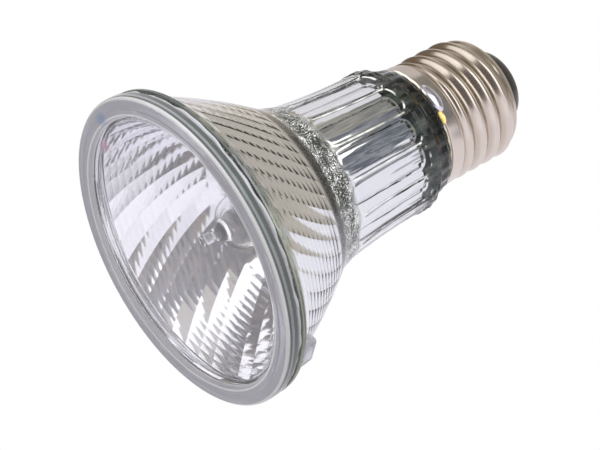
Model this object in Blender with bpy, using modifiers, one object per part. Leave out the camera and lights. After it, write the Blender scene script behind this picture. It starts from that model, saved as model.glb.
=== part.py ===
# Halogen reflector lamp with a glass reflector, a clear front lens and a screw cap.
# The lamp stands on the rim of its lens: +Z runs along its axis from the lens to the
# cap, and the origin is the centre of the rim's front plane. Metres throughout.
# A bearing is an angle about the axis, counted from -Y towards +X.

import math

import bmesh
import bpy
from mathutils import Matrix, Vector

MM = 0.001

# Rim of the lens and reflector, and the gap that seated pieces keep
RIM_DIAMETER = 64.5 * MM
SEAT_GAP = 0.3 * MM

# Front lens
LENS_FLANGE_THICKNESS = 2.8 * MM
LENS_FRONT_ROUND = 0.95 * MM
LENS_BACK_ROUND = 0.4 * MM
RIM_LEDGE_WIDTH = 3.85 * MM
WINDOW_RECESS = 0.9 * MM
WINDOW_DRAFT = 0.45 * MM
WINDOW_CROWN = 0.5 * MM
WINDOW_THICKNESS = 2.4 * MM
TONGUE_SETBACK = 3.15 * MM
TONGUE_WIDTH = 1.5 * MM
TONGUE_DEPTH = 1.5 * MM
TONGUE_ROUND = 0.25 * MM

# Sealing bead between the lens and the reflector
SEAL_THICKNESS = 0.4 * MM
SEAL_INSET = 0.45 * MM

# Reflector rim and its locating lug
REFLECTOR_RIM_INSET = 0.15 * MM
RIM_BAND_HEIGHT = 1.0 * MM
RIM_BACK_ROUND = 0.5 * MM
RIM_BACK_HEIGHT = 3.4 * MM
LENS_SEAT_DEPTH = 1.5 * MM
LUG_BEARING = math.radians(62.0)
LUG_LENGTH = 8.0 * MM
LUG_HEIGHT = 4.6 * MM
LUG_WIDTH = 2.6 * MM
LUG_ROUND = 0.9 * MM
LUG_INSET = 1.75 * MM

# Reflector bowl and the collar that joins it to the neck
BOWL_MOUTH_SETBACK = 3.05 * MM
BOWL_DEPTH = 17.3 * MM
COLLAR_DIAMETER = 38.8 * MM
COLLAR_HEIGHT = 6.5 * MM
COLLAR_WALL = 3.0 * MM
LENS_SEAT_LEDGE = 1.2 * MM
FACET_COLUMNS = 42
FACET_ROWS = 16
FACET_TWIST = math.radians(2.0)

# Reflector neck with its flat panels, and the plain end zone behind them
NECK_LENGTH = 21.5 * MM
NECK_START_DIAMETER = 34.2 * MM
NECK_END_DIAMETER = 31.2 * MM
NECK_STEP_HEIGHT = 1.1 * MM
PANEL_COUNT = 14
PANEL_DEPTH = 0.5 * MM
PANEL_ARCH_HEIGHT = 2.3 * MM
END_ZONE_LENGTH = 4.7 * MM
END_ZONE_TAPER = 0.6 * MM
END_ZONE_OVERHANG = 0.6 * MM
SHOULDER_ROUND = 0.4 * MM
SKIRT_CLEARANCE = 0.8 * MM
NECK_START_WALL = 4.15 * MM
NECK_END_WALL = 1.4 * MM
NECK_FLOOR_THICKNESS = 2.4 * MM
NECK_FLOOR_OFFSET = 0.8 * MM
SPIGOT_LENGTH = 6.0 * MM
SPIGOT_WALL = 2.1 * MM
WIRE_CHANNEL_WIDTH = 1.1 * MM

# Halogen capsule: quartz envelope with a drawn tip and a pinch
CAPSULE_TIP_CLEARANCE = 4.0 * MM
TIP_DIAMETER = 2.3 * MM
TIP_LENGTH = 5.2 * MM
TIP_BLEND_HEIGHT = 0.9 * MM
CAPSULE_DIAMETER = 11.4 * MM
CAPSULE_WALL = 1.0 * MM
DOME_HEIGHT = 4.6 * MM
HEEL_HEIGHT = 3.0 * MM
HEEL_DIAMETER = 6.6 * MM
PINCH_LENGTH = 11.0 * MM
PINCH_WIDTH = 11.6 * MM
PINCH_THICKNESS = 3.8 * MM
PINCH_ROUND = 0.8 * MM
PINCH_OVERLAP = 1.6 * MM
PIN_STAND = 5.5 * MM

# Filament and what carries it inside the capsule
FILAMENT_LENGTH = 10.0 * MM
FILAMENT_COIL_RADIUS = 0.8 * MM
FILAMENT_WIRE_DIAMETER = 0.46 * MM
FILAMENT_TURNS = 12
FILAMENT_STEPS = 6
FILAMENT_TAIL = 0.8 * MM
FILAMENT_SETBACK = 5.5 * MM
INNER_LEAD_DIAMETER = 0.7 * MM
LEAD_SPACING = 6.4 * MM
LEAD_BEND_RISE = 1.6 * MM
FOIL_WIDTH = 2.2 * MM
FOIL_THICKNESS = 0.3 * MM
FOIL_LENGTH = 5.2 * MM
FOIL_DEPTH_IN_PINCH = 3.0 * MM

# Outer lead pins and the ferrules that carry them through the neck's floor
PIN_DIAMETER = 1.0 * MM
FERRULE_DIAMETER = 2.7 * MM
FERRULE_FLANGE_DIAMETER = 4.2 * MM
FERRULE_FLANGE_THICKNESS = 0.5 * MM
FERRULE_STAND_OUT = 1.2 * MM
FERRULE_FLARE = 0.25 * MM

# Connecting wires behind the neck
WIRE_DIAMETER = 0.44 * MM
WIRE_LOOP_RISE = 2.2 * MM
WIRE_SAMPLES_PER_SPAN = 3

# Screw cap shell
SKIRT_INSET = 0.05 * MM
SHELL_THICKNESS = 0.35 * MM
SKIRT_LENGTH = 3.3 * MM
THREAD_PITCH = 3.629 * MM
THREAD_CREST_DIAMETER = 26.3 * MM
THREAD_DEPTH = 1.0 * MM
THREAD_LENGTH = 12.9 * MM
THREAD_RUN_IN = 1.4 * MM
THREAD_START = math.radians(238.0)
THREAD_ROWS_PER_TURN = 5
SHELL_STEPS = 28
SHELL_END_HEIGHT = 3.7 * MM
SHELL_LIP_WIDTH = 3.55 * MM

# Cement, insulator, contact and solder
CEMENT_START = 0.4 * MM
CEMENT_HEIGHT = 4.5 * MM
CEMENT_NOTCH_WIDTH = 1.4 * MM
INSULATOR_FLANGE_HEIGHT = 1.6 * MM
INSULATOR_OVERHANG = 0.3 * MM
INSULATOR_CONE_HEIGHT = 4.8 * MM
INSULATOR_LAND = 0.7 * MM
INSULATOR_BELLY = 0.5 * MM
CONTACT_DIAMETER = 8.8 * MM
CONTACT_THICKNESS = 0.9 * MM
CONTACT_WELL_DEPTH = 0.8 * MM
CONTACT_ROUND = 0.4 * MM
CONTACT_HOLE_DIAMETER = 2.0 * MM
TIP_SOLDER_DIAMETER = 5.2 * MM
TIP_SOLDER_HEIGHT = 1.1 * MM
SIDE_SOLDER_BEARING = math.radians(-15.0)
SIDE_SOLDER_LENGTH = 6.5 * MM
SIDE_SOLDER_WIDTH = 3.0 * MM
SIDE_SOLDER_HEIGHT = 1.1 * MM

# How finely round forms are divided, and how far a cutter runs past what it cuts
ROUND_STEPS = 48
SMALL_STEPS = 18
FINE_STEPS = 16
REFLECTOR_STEPS = PANEL_COUNT * 4
CORNER_STEPS = 2
CUT_OVERRUN = 1.0 * MM
MERGE_DISTANCE = 0.001 * MM

# Radii that several pieces share
RIM_RADIUS = RIM_DIAMETER / 2.0
WINDOW_RADIUS = RIM_RADIUS - RIM_LEDGE_WIDTH
TONGUE_RADIUS = RIM_RADIUS - TONGUE_SETBACK
LENS_SEAT_RADIUS = TONGUE_RADIUS + SEAT_GAP
BOWL_MOUTH_RADIUS = RIM_RADIUS - BOWL_MOUTH_SETBACK
MIRROR_MOUTH_RADIUS = LENS_SEAT_RADIUS - LENS_SEAT_LEDGE
COLLAR_RADIUS = COLLAR_DIAMETER / 2.0
MIRROR_THROAT_RADIUS = COLLAR_RADIUS - COLLAR_WALL
THREAD_CREST_RADIUS = THREAD_CREST_DIAMETER / 2.0
THREAD_ROOT_RADIUS = THREAD_CREST_RADIUS - THREAD_DEPTH
ROOT_BORE_RADIUS = THREAD_ROOT_RADIUS - SHELL_THICKNESS
SKIRT_RADIUS = THREAD_CREST_RADIUS - SKIRT_INSET
SHELL_LIP_RADIUS = THREAD_ROOT_RADIUS - SHELL_LIP_WIDTH
SHOULDER_RADIUS = SKIRT_RADIUS + END_ZONE_OVERHANG
SPIGOT_RADIUS = ROOT_BORE_RADIUS - WIRE_CHANNEL_WIDTH
SPIGOT_BORE_RADIUS = SPIGOT_RADIUS - SPIGOT_WALL
LEAD_X = LEAD_SPACING / 2.0

# Heights that several pieces share, from the lens up to the solder on the contact
SEAL_Z = LENS_FLANGE_THICKNESS + SEAT_GAP
RIM_Z = SEAL_Z + SEAL_THICKNESS + SEAT_GAP
RIM_BACK_Z = RIM_Z + RIM_BAND_HEIGHT
BOWL_Z = RIM_BACK_Z + RIM_BACK_HEIGHT
COLLAR_Z = BOWL_Z + BOWL_DEPTH
NECK_Z = COLLAR_Z + COLLAR_HEIGHT
NECK_END_Z = NECK_Z + NECK_LENGTH
SHOULDER_Z = NECK_END_Z + END_ZONE_LENGTH
FLOOR_TOP_Z = SHOULDER_Z - NECK_FLOOR_OFFSET
FLOOR_Z = FLOOR_TOP_Z - NECK_FLOOR_THICKNESS
SPIGOT_END_Z = SHOULDER_Z + SPIGOT_LENGTH
TIP_Z = WINDOW_RECESS - WINDOW_CROWN + WINDOW_THICKNESS + CAPSULE_TIP_CLEARANCE
DOME_Z = TIP_Z + TIP_LENGTH
PINCH_END_Z = FLOOR_Z - PIN_STAND
PINCH_Z = PINCH_END_Z - PINCH_LENGTH
FILAMENT_END_Z = PINCH_Z - FILAMENT_SETBACK
FILAMENT_Z = FILAMENT_END_Z - FILAMENT_LENGTH
FOIL_Z = PINCH_Z + FOIL_DEPTH_IN_PINCH
FOIL_END_Z = FOIL_Z + FOIL_LENGTH
FERRULE_END_Z = FLOOR_TOP_Z + FERRULE_STAND_OUT
CAP_Z = SHOULDER_Z + SKIRT_CLEARANCE
THREAD_Z = CAP_Z + SKIRT_LENGTH
THREAD_END_Z = THREAD_Z + THREAD_LENGTH
SHELL_END_Z = THREAD_END_Z + SHELL_END_HEIGHT
THREAD_FADE_Z = THREAD_END_Z + SHELL_END_HEIGHT / 2.0
INSULATOR_SHOULDER_Z = SHELL_END_Z + SEAT_GAP
INSULATOR_END_Z = INSULATOR_SHOULDER_Z + INSULATOR_CONE_HEIGHT
WELL_Z = INSULATOR_END_Z - CONTACT_WELL_DEPTH
CONTACT_Z = WELL_Z + SEAT_GAP
TIP_SOLDER_Z = CONTACT_Z + CONTACT_THICKNESS + SEAT_GAP
TOP_Z = TIP_SOLDER_Z + TIP_SOLDER_HEIGHT

LAMP_NAME = "halogen_reflector_lamp"


# Scene, collections and materials

def clear_scene():
    for old in list(bpy.data.objects):
        bpy.data.objects.remove(old, do_unlink=True)


def new_collection(name):
    collection = bpy.data.collections.new(name)
    bpy.context.scene.collection.children.link(collection)
    return collection


def new_material(name, colour, roughness, metallic=0.0, transmission=0.0):
    material = bpy.data.materials.new(name)
    material.use_nodes = True
    shader = material.node_tree.nodes["Principled BSDF"]
    shader.inputs["Base Color"].default_value = (*colour, 1.0)
    shader.inputs["Roughness"].default_value = roughness
    shader.inputs["Metallic"].default_value = metallic
    shader.inputs["Transmission Weight"].default_value = transmission
    material.diffuse_color = (*colour, 1.0)
    return material


# Outline helpers: every profile is a list of (radius, height) pairs

def arc(centre, radius, start, end, steps=CORNER_STEPS):
    points = []
    for step in range(steps + 1):
        angle = start + (end - start) * step / steps
        points.append((centre[0] + radius * math.cos(angle), centre[1] + radius * math.sin(angle)))
    return points


def bezier(start, control, end, steps):
    points = []
    for step in range(steps + 1):
        share = step / steps
        rest = 1.0 - share
        points.append(tuple(rest * rest * s + 2.0 * rest * share * c + share * share * e
                            for s, c, e in zip(start, control, end)))
    return points


def tangent_corner(start, start_slope, end, end_slope):
    # Where two tangents meet. A slope is the change of radius with height.
    height = ((end[0] - end_slope * end[1]) - (start[0] - start_slope * start[1]))
    height /= start_slope - end_slope
    return (start[0] + start_slope * (height - start[1]), height)


def paraboloid_radius(height, mouth, throat):
    # A paraboloid's squared radius falls evenly with height from its mouth to its throat.
    share = (height - mouth[1]) / (throat[1] - mouth[1])
    return math.sqrt(mouth[0] ** 2 + (throat[0] ** 2 - mouth[0] ** 2) * share)


def paraboloid_slope(height, mouth, throat):
    fall = (throat[0] ** 2 - mouth[0] ** 2) / (throat[1] - mouth[1])
    return fall / (2.0 * paraboloid_radius(height, mouth, throat))


def paraboloid_profile(mouth, throat, rows):
    heights = [mouth[1] + (throat[1] - mouth[1]) * row / rows for row in range(rows + 1)]
    return [(paraboloid_radius(height, mouth, throat), height) for height in heights]


def at_bearing(radius, bearing, height):
    return Vector((radius * math.sin(bearing), -radius * math.cos(bearing), height))


# Solid helpers

def link(obj, collection, material=None):
    collection.objects.link(obj)
    if material is not None:
        obj.data.materials.clear()
        obj.data.materials.append(material)
    return obj


def turned(name, profile, steps, closed=False):
    # A profile at +X, run down its outer side, is turned about Z by a Screw modifier.
    mesh = bpy.data.meshes.new(name)
    edges = [(index, index + 1) for index in range(len(profile) - 1)]
    if closed:
        edges.append((len(profile) - 1, 0))
    mesh.from_pydata([(radius, 0.0, height) for radius, height in profile], edges, [])
    obj = bpy.data.objects.new(name, mesh)
    screw = obj.modifiers.new("turn", "SCREW")
    screw.axis = "Z"
    screw.steps = steps
    screw.render_steps = steps
    screw.use_merge_vertices = True
    screw.merge_threshold = MERGE_DISTANCE
    return obj


def evaluated_copy(obj, name):
    # The object as its modifiers leave it, as a plain mesh object.
    holder = new_collection("workbench")
    if not obj.users_collection:
        holder.objects.link(obj)
    bpy.context.view_layer.update()
    graph = bpy.context.evaluated_depsgraph_get()
    mesh = bpy.data.meshes.new_from_object(obj.evaluated_get(graph))
    matrix = obj.matrix_world.copy()
    bpy.data.objects.remove(obj, do_unlink=True)
    bpy.data.collections.remove(holder)
    mesh.name = name
    copy = bpy.data.objects.new(name, mesh)
    copy.matrix_world = matrix
    bm = bmesh.new()
    bm.from_mesh(mesh)
    bmesh.ops.remove_doubles(bm, verts=bm.verts, dist=MERGE_DISTANCE)
    bm.to_mesh(mesh)
    bm.free()
    return copy


def bake(obj):
    return evaluated_copy(obj, obj.name)


def add_boolean(target, cutter, operation):
    modifier = target.modifiers.new(cutter.name, "BOOLEAN")
    modifier.operation = operation
    modifier.solver = "EXACT"
    modifier.object = cutter


def as_cutter(obj, cutters):
    link(obj, cutters)
    obj.hide_render = True
    obj.display_type = "WIRE"
    return obj


def block(name, size, centre, rounding=0.0, segments=2):
    bm = bmesh.new()
    bmesh.ops.create_cube(bm, size=1.0)
    bmesh.ops.scale(bm, vec=size, verts=bm.verts)
    mesh = bpy.data.meshes.new(name)
    bm.to_mesh(mesh)
    bm.free()
    obj = bpy.data.objects.new(name, mesh)
    obj.location = centre
    if rounding > 0.0:
        bevel = obj.modifiers.new("rounding", "BEVEL")
        bevel.width = rounding
        bevel.segments = segments
    return obj


def rod(name, radius, low, high, centre_x=0.0, steps=FINE_STEPS):
    obj = turned(name, [(0.0, high), (radius, high), (radius, low), (0.0, low)], steps)
    obj.location.x = centre_x
    return obj


def smooth_route(points, samples):
    # A smooth curve through the chosen points. At each point it runs parallel to the line
    # between its neighbours, and each span is a cubic that can't overshoot its length.
    ends = [points[0] * 2.0 - points[1], *points, points[-1] * 2.0 - points[-2]]
    route = []
    for index in range(1, len(ends) - 2):
        before, start, end, after = ends[index - 1:index + 3]
        span = (end - start).length
        leaving = (end - before).normalized() * span
        arriving = (after - start).normalized() * span
        for sample in range(samples):
            t = sample / samples
            route.append(start * (2.0 * t ** 3 - 3.0 * t ** 2 + 1.0)
                         + leaving * (t ** 3 - 2.0 * t ** 2 + t)
                         + end * (3.0 * t ** 2 - 2.0 * t ** 3)
                         + arriving * (t ** 3 - t ** 2))
    route.append(points[-1])
    return route


def wire(name, route, diameter, resolution=1):
    curve = bpy.data.curves.new(name, "CURVE")
    curve.dimensions = "3D"
    curve.bevel_depth = diameter / 2.0
    curve.bevel_resolution = resolution
    curve.use_fill_caps = True
    spline = curve.splines.new("POLY")
    spline.points.add(len(route) - 1)
    for point, place in zip(spline.points, route):
        point.co = (*place, 1.0)
    return evaluated_copy(bpy.data.objects.new(name, curve), name)


def finish(obj, parts, material, sharp=math.radians(35.0)):
    link(obj, parts, material)
    obj.data.shade_smooth()
    obj.data.set_sharp_from_angle(angle=sharp)
    return obj


# Front lens: a clear window a little below the plane of its rounded rim

def lens_profile():
    rim = RIM_RADIUS
    window_floor = WINDOW_RADIUS - WINDOW_DRAFT
    tongue = TONGUE_RADIUS
    tongue_inner = tongue - TONGUE_WIDTH
    tongue_end = LENS_FLANGE_THICKNESS + TONGUE_DEPTH

    def window_height(radius):
        return WINDOW_RECESS - WINDOW_CROWN * (1.0 - (radius / window_floor) ** 2)

    inward = [window_floor * share for share in (1.0, 0.5, 0.0)]
    outward = [tongue_inner * share for share in (0.0, 0.5, 1.0)]
    points = [(radius, window_height(radius) + WINDOW_THICKNESS) for radius in outward]
    points.append((tongue_inner, tongue_end))
    points += arc((tongue - TONGUE_ROUND, tongue_end - TONGUE_ROUND), TONGUE_ROUND,
                  math.pi / 2.0, 0.0)
    points.append((tongue, LENS_FLANGE_THICKNESS))
    points += arc((rim - LENS_BACK_ROUND, LENS_FLANGE_THICKNESS - LENS_BACK_ROUND),
                  LENS_BACK_ROUND, math.pi / 2.0, 0.0)
    points += arc((rim - LENS_FRONT_ROUND, LENS_FRONT_ROUND), LENS_FRONT_ROUND,
                  0.0, -math.pi / 2.0, CORNER_STEPS + 1)
    points.append((WINDOW_RADIUS, 0.0))
    points += [(radius, window_height(radius)) for radius in inward]
    return points


def build_lens(parts, glass):
    finish(turned("front_lens", lens_profile(), ROUND_STEPS), parts, glass)


def build_seal(parts, silicone):
    outer = RIM_RADIUS - SEAL_INSET
    inner = TONGUE_RADIUS + 2.0 * SEAT_GAP
    middle = SEAL_Z + SEAL_THICKNESS / 2.0
    bulge = SEAL_THICKNESS / 2.0
    profile = arc((outer - bulge, middle), bulge, math.pi / 2.0, -math.pi / 2.0)
    profile += [(inner, SEAL_Z), (inner, SEAL_Z + SEAL_THICKNESS)]
    finish(turned("lens_seal", profile, ROUND_STEPS, closed=True), parts, silicone)


# Reflector: one pressed glass piece with bowl, collar, panelled neck and spigot

def outer_bowl_ends():
    return (BOWL_MOUTH_RADIUS, BOWL_Z), (COLLAR_RADIUS, COLLAR_Z)


def inner_bowl_ends():
    return (MIRROR_MOUTH_RADIUS, RIM_Z + LENS_SEAT_DEPTH), (MIRROR_THROAT_RADIUS, COLLAR_Z)


def neck_radius(height):
    share = (height - NECK_Z) / NECK_LENGTH
    narrowing = (NECK_START_DIAMETER - NECK_END_DIAMETER) / 2.0
    return NECK_END_DIAMETER / 2.0 + narrowing * (1.0 - share) ** 2


def reflector_outline():
    rim = RIM_RADIUS - REFLECTOR_RIM_INSET
    mouth, collar = outer_bowl_ends()
    neck_start = (neck_radius(NECK_Z), NECK_Z)
    neck_slope = -(NECK_START_DIAMETER - NECK_END_DIAMETER) / NECK_LENGTH
    corner = tangent_corner(collar, paraboloid_slope(COLLAR_Z, mouth, collar),
                            neck_start, neck_slope)
    neck_rows = [NECK_Z + NECK_LENGTH * share for share in (0.2, 0.45, 0.75)]
    neck_end = neck_radius(NECK_END_Z)
    end_zone = SHOULDER_RADIUS + END_ZONE_TAPER
    step_middle = ((neck_end + end_zone) / 2.0, NECK_END_Z + NECK_STEP_HEIGHT / 2.0)
    step_end = (end_zone, NECK_END_Z + NECK_STEP_HEIGHT)

    points = [(0.0, RIM_Z), (rim, RIM_Z)]
    points += arc((rim - RIM_BACK_ROUND, RIM_BACK_Z - RIM_BACK_ROUND / 2.0), RIM_BACK_ROUND,
                  0.0, math.pi / 4.0)
    points += paraboloid_profile(mouth, collar, 4)
    points += bezier(collar, corner, neck_start, 6)[1:]
    points += [(neck_radius(height), height) for height in neck_rows]
    points += bezier((neck_end, NECK_END_Z), (neck_end, step_middle[1]), step_middle, 2)
    points += bezier(step_middle, (end_zone, step_middle[1]), step_end, 2)[1:]
    points += arc((SHOULDER_RADIUS - SHOULDER_ROUND, SHOULDER_Z - SHOULDER_ROUND), SHOULDER_ROUND,
                  0.0, math.pi / 2.0)
    points += [(SPIGOT_RADIUS, SHOULDER_Z), (SPIGOT_RADIUS, SPIGOT_END_Z), (0.0, SPIGOT_END_Z)]
    points.reverse()
    return points


def cut_panels(mesh):
    # Flat panels stand round the neck. Their depth grows from nothing at the top of an
    # arch in the collar, and a narrow land of the round surface is left between them.
    arch_z = NECK_Z - PANEL_ARCH_HEIGHT
    pitch = 2.0 * math.pi / PANEL_COUNT
    for vertex in mesh.vertices:
        x, y, z = vertex.co
        radius = math.hypot(x, y)
        if not arch_z < z < SHOULDER_Z - SHOULDER_ROUND / 2.0:
            continue
        bearing = math.atan2(x, -y)
        offset = (bearing + pitch / 2.0) % pitch - pitch / 2.0
        growth = min(1.0, (z - arch_z) / PANEL_ARCH_HEIGHT)
        flat = (radius - PANEL_DEPTH * growth) / math.cos(offset)
        scale = min(1.0, flat / radius)
        vertex.co.x = x * scale
        vertex.co.y = y * scale


def mirror_cavity(cutters):
    # The faceted bowl, the smooth collar and the neck's bore, as one closed cutter.
    mouth, throat = inner_bowl_ends()
    bore_start = (NECK_START_DIAMETER / 2.0 - NECK_START_WALL, NECK_Z)
    bore_end = (SHOULDER_RADIUS - NECK_END_WALL, FLOOR_Z)
    bore_slope = (bore_end[0] - bore_start[0]) / (bore_end[1] - bore_start[1])
    corner = tangent_corner(throat, paraboloid_slope(COLLAR_Z, mouth, throat),
                            bore_start, bore_slope)
    points = [(0.0, RIM_Z - CUT_OVERRUN), (LENS_SEAT_RADIUS, RIM_Z - CUT_OVERRUN),
              (LENS_SEAT_RADIUS, mouth[1])]
    points += paraboloid_profile(mouth, throat, FACET_ROWS)
    points += bezier(throat, corner, bore_start, 4)[1:]
    points += [bore_end, (0.0, FLOOR_Z)]
    points.reverse()
    cavity = bake(turned("mirror_cavity", points, FACET_COLUMNS))
    row_height = (throat[1] - mouth[1]) / FACET_ROWS
    for vertex in cavity.data.vertices:
        row = min(max((vertex.co.z - mouth[1]) / row_height, 0.0), float(FACET_ROWS))
        vertex.co.rotate(Matrix.Rotation(FACET_TWIST * row, 3, "Z"))
    return as_cutter(cavity, cutters)


def build_reflector(parts, cutters, glass):
    body = bake(turned("reflector", reflector_outline(), REFLECTOR_STEPS))
    cut_panels(body.data)
    lug = block("rim_lug", (LUG_LENGTH, LUG_WIDTH, LUG_HEIGHT),
                at_bearing(RIM_RADIUS - LUG_INSET, LUG_BEARING, RIM_BACK_Z + LUG_HEIGHT / 4.0),
                LUG_ROUND)
    lug.rotation_euler.z = LUG_BEARING
    add_boolean(body, as_cutter(lug, cutters), "UNION")
    add_boolean(body, mirror_cavity(cutters), "DIFFERENCE")
    spigot_bore = rod("spigot_bore", SPIGOT_BORE_RADIUS, FLOOR_TOP_Z,
                      SPIGOT_END_Z + CUT_OVERRUN, steps=SMALL_STEPS)
    add_boolean(body, as_cutter(bake(spigot_bore), cutters), "DIFFERENCE")
    for side in (-1.0, 1.0):
        hole = rod(f"ferrule_hole_{'left' if side < 0.0 else 'right'}",
                   FERRULE_DIAMETER / 2.0 + SEAT_GAP, FLOOR_Z - CUT_OVERRUN,
                   FLOOR_TOP_Z + CUT_OVERRUN, side * LEAD_X)
        add_boolean(body, as_cutter(bake(hole), cutters), "DIFFERENCE")
    finish(body, parts, glass)


# Halogen capsule

def capsule_outline():
    radius = CAPSULE_DIAMETER / 2.0
    tip = TIP_DIAMETER / 2.0
    heel = HEEL_DIAMETER / 2.0
    points = [(0.0, TIP_Z)]
    points += arc((0.0, TIP_Z + tip), tip, -math.pi / 3.0, 0.0, 2)
    points += bezier((tip, DOME_Z), (tip, DOME_Z + TIP_BLEND_HEIGHT),
                     (2.0 * tip, DOME_Z + TIP_BLEND_HEIGHT), 2)
    points += bezier((2.0 * tip, DOME_Z + TIP_BLEND_HEIGHT), (radius, DOME_Z + TIP_BLEND_HEIGHT),
                     (radius, DOME_Z + DOME_HEIGHT), 4)[1:]
    points.append((radius, PINCH_Z - HEEL_HEIGHT))
    points += bezier((radius, PINCH_Z - HEEL_HEIGHT), (radius, PINCH_Z), (heel, PINCH_Z), 3)[1:]
    points.append((0.0, PINCH_Z))
    points.reverse()
    return points


def capsule_hollow():
    radius = CAPSULE_DIAMETER / 2.0 - CAPSULE_WALL
    low = DOME_Z + TIP_BLEND_HEIGHT + CAPSULE_WALL
    high = PINCH_Z - CAPSULE_WALL
    heel = HEEL_DIAMETER / 2.0
    points = [(0.0, low)]
    points += bezier((heel / 2.0, low), (radius, low), (radius, DOME_Z + DOME_HEIGHT), 3)
    points += bezier((radius, PINCH_Z - HEEL_HEIGHT), (radius, high), (heel, high), 2)
    points.append((0.0, high))
    points.reverse()
    return points


def build_capsule(parts, cutters, quartz):
    body = bake(turned("capsule_envelope", capsule_outline(), SMALL_STEPS))
    pinch_height = PINCH_LENGTH + PINCH_OVERLAP
    pinch = block("pinch", (PINCH_WIDTH, PINCH_THICKNESS, pinch_height),
                  (0.0, 0.0, PINCH_END_Z - pinch_height / 2.0), PINCH_ROUND)
    add_boolean(body, as_cutter(pinch, cutters), "UNION")
    hollow = bake(turned("capsule_hollow", capsule_hollow(), SMALL_STEPS))
    add_boolean(body, as_cutter(hollow, cutters), "DIFFERENCE")
    for side in (-1.0, 1.0):
        label = "left" if side < 0.0 else "right"
        x = side * LEAD_X
        lead_bore = rod(f"inner_lead_bore_{label}", INNER_LEAD_DIAMETER / 2.0 + SEAT_GAP,
                        PINCH_Z - CAPSULE_WALL - CUT_OVERRUN, FOIL_Z, x)
        slot = block(f"foil_slot_{label}",
                     (FOIL_WIDTH + 2.0 * SEAT_GAP, FOIL_THICKNESS + 2.0 * SEAT_GAP,
                      FOIL_LENGTH + 2.0 * SEAT_GAP),
                     (x, 0.0, (FOIL_Z + FOIL_END_Z) / 2.0))
        pin_bore = rod(f"pin_bore_{label}", PIN_DIAMETER / 2.0 + SEAT_GAP, FOIL_END_Z,
                       PINCH_END_Z + CUT_OVERRUN, x)
        for cutter in (lead_bore, pin_bore):
            add_boolean(body, as_cutter(bake(cutter), cutters), "DIFFERENCE")
        add_boolean(body, as_cutter(slot, cutters), "DIFFERENCE")
    finish(body, parts, quartz)


def build_filament(parts, tungsten):
    steps = FILAMENT_TURNS * FILAMENT_STEPS
    low = FILAMENT_Z + FILAMENT_TAIL
    rise = FILAMENT_LENGTH - 2.0 * FILAMENT_TAIL
    route = [Vector((0.0, 0.0, FILAMENT_Z))]
    for step in range(steps + 1):
        angle = 2.0 * math.pi * step / FILAMENT_STEPS
        route.append(Vector((FILAMENT_COIL_RADIUS * math.cos(angle),
                             FILAMENT_COIL_RADIUS * math.sin(angle),
                             low + rise * step / steps)))
    route.append(Vector((0.0, 0.0, FILAMENT_END_Z)))
    finish(wire("filament", route, FILAMENT_WIRE_DIAMETER), parts, tungsten)


def build_filament_leads(parts, molybdenum):
    # Each lead rises from its foil and hooks over to one end of the filament.
    reach = SEAT_GAP + INNER_LEAD_DIAMETER / 2.0
    for name, x, height in (("filament_lead_long", -LEAD_X, FILAMENT_Z - reach),
                            ("filament_lead_short", LEAD_X, FILAMENT_END_Z + reach)):
        points = [Vector((x, 0.0, FOIL_Z - SEAT_GAP)),
                  Vector((x, 0.0, height + LEAD_BEND_RISE)),
                  Vector((x / 2.0, 0.0, height + LEAD_BEND_RISE / 4.0)),
                  Vector((0.0, 0.0, height))]
        finish(wire(name, smooth_route(points, WIRE_SAMPLES_PER_SPAN), INNER_LEAD_DIAMETER),
               parts, molybdenum)


def build_foils_and_pins(parts, molybdenum):
    for side in (-1.0, 1.0):
        label = "left" if side < 0.0 else "right"
        x = side * LEAD_X
        foil = block(f"foil_{label}",
                     (FOIL_WIDTH, FOIL_THICKNESS, FOIL_LENGTH - 2.0 * SEAT_GAP),
                     (x, 0.0, (FOIL_Z + FOIL_END_Z) / 2.0))
        finish(foil, parts, molybdenum)
        pin = rod(f"lead_pin_{label}", PIN_DIAMETER / 2.0, FOIL_END_Z,
                  FERRULE_END_Z - SEAT_GAP, x)
        finish(pin, parts, molybdenum)


def build_ferrules(parts, brass):
    bore = PIN_DIAMETER / 2.0 + SEAT_GAP
    body = FERRULE_DIAMETER / 2.0
    flange = FERRULE_FLANGE_DIAMETER / 2.0
    flange_top = FLOOR_Z - SEAT_GAP
    flange_low = flange_top - FERRULE_FLANGE_THICKNESS
    profile = [(bore, FERRULE_END_Z), (body + FERRULE_FLARE, FERRULE_END_Z),
               (body, FERRULE_END_Z - 2.0 * FERRULE_FLARE), (body, flange_top),
               (flange, flange_top), (flange, flange_low), (bore, flange_low)]
    for side in (-1.0, 1.0):
        name = "ferrule_left" if side < 0.0 else "ferrule_right"
        ferrule = turned(name, profile, FINE_STEPS, closed=True)
        ferrule.location.x = side * LEAD_X
        finish(ferrule, parts, brass)


# Connecting wires behind the neck's floor

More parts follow.
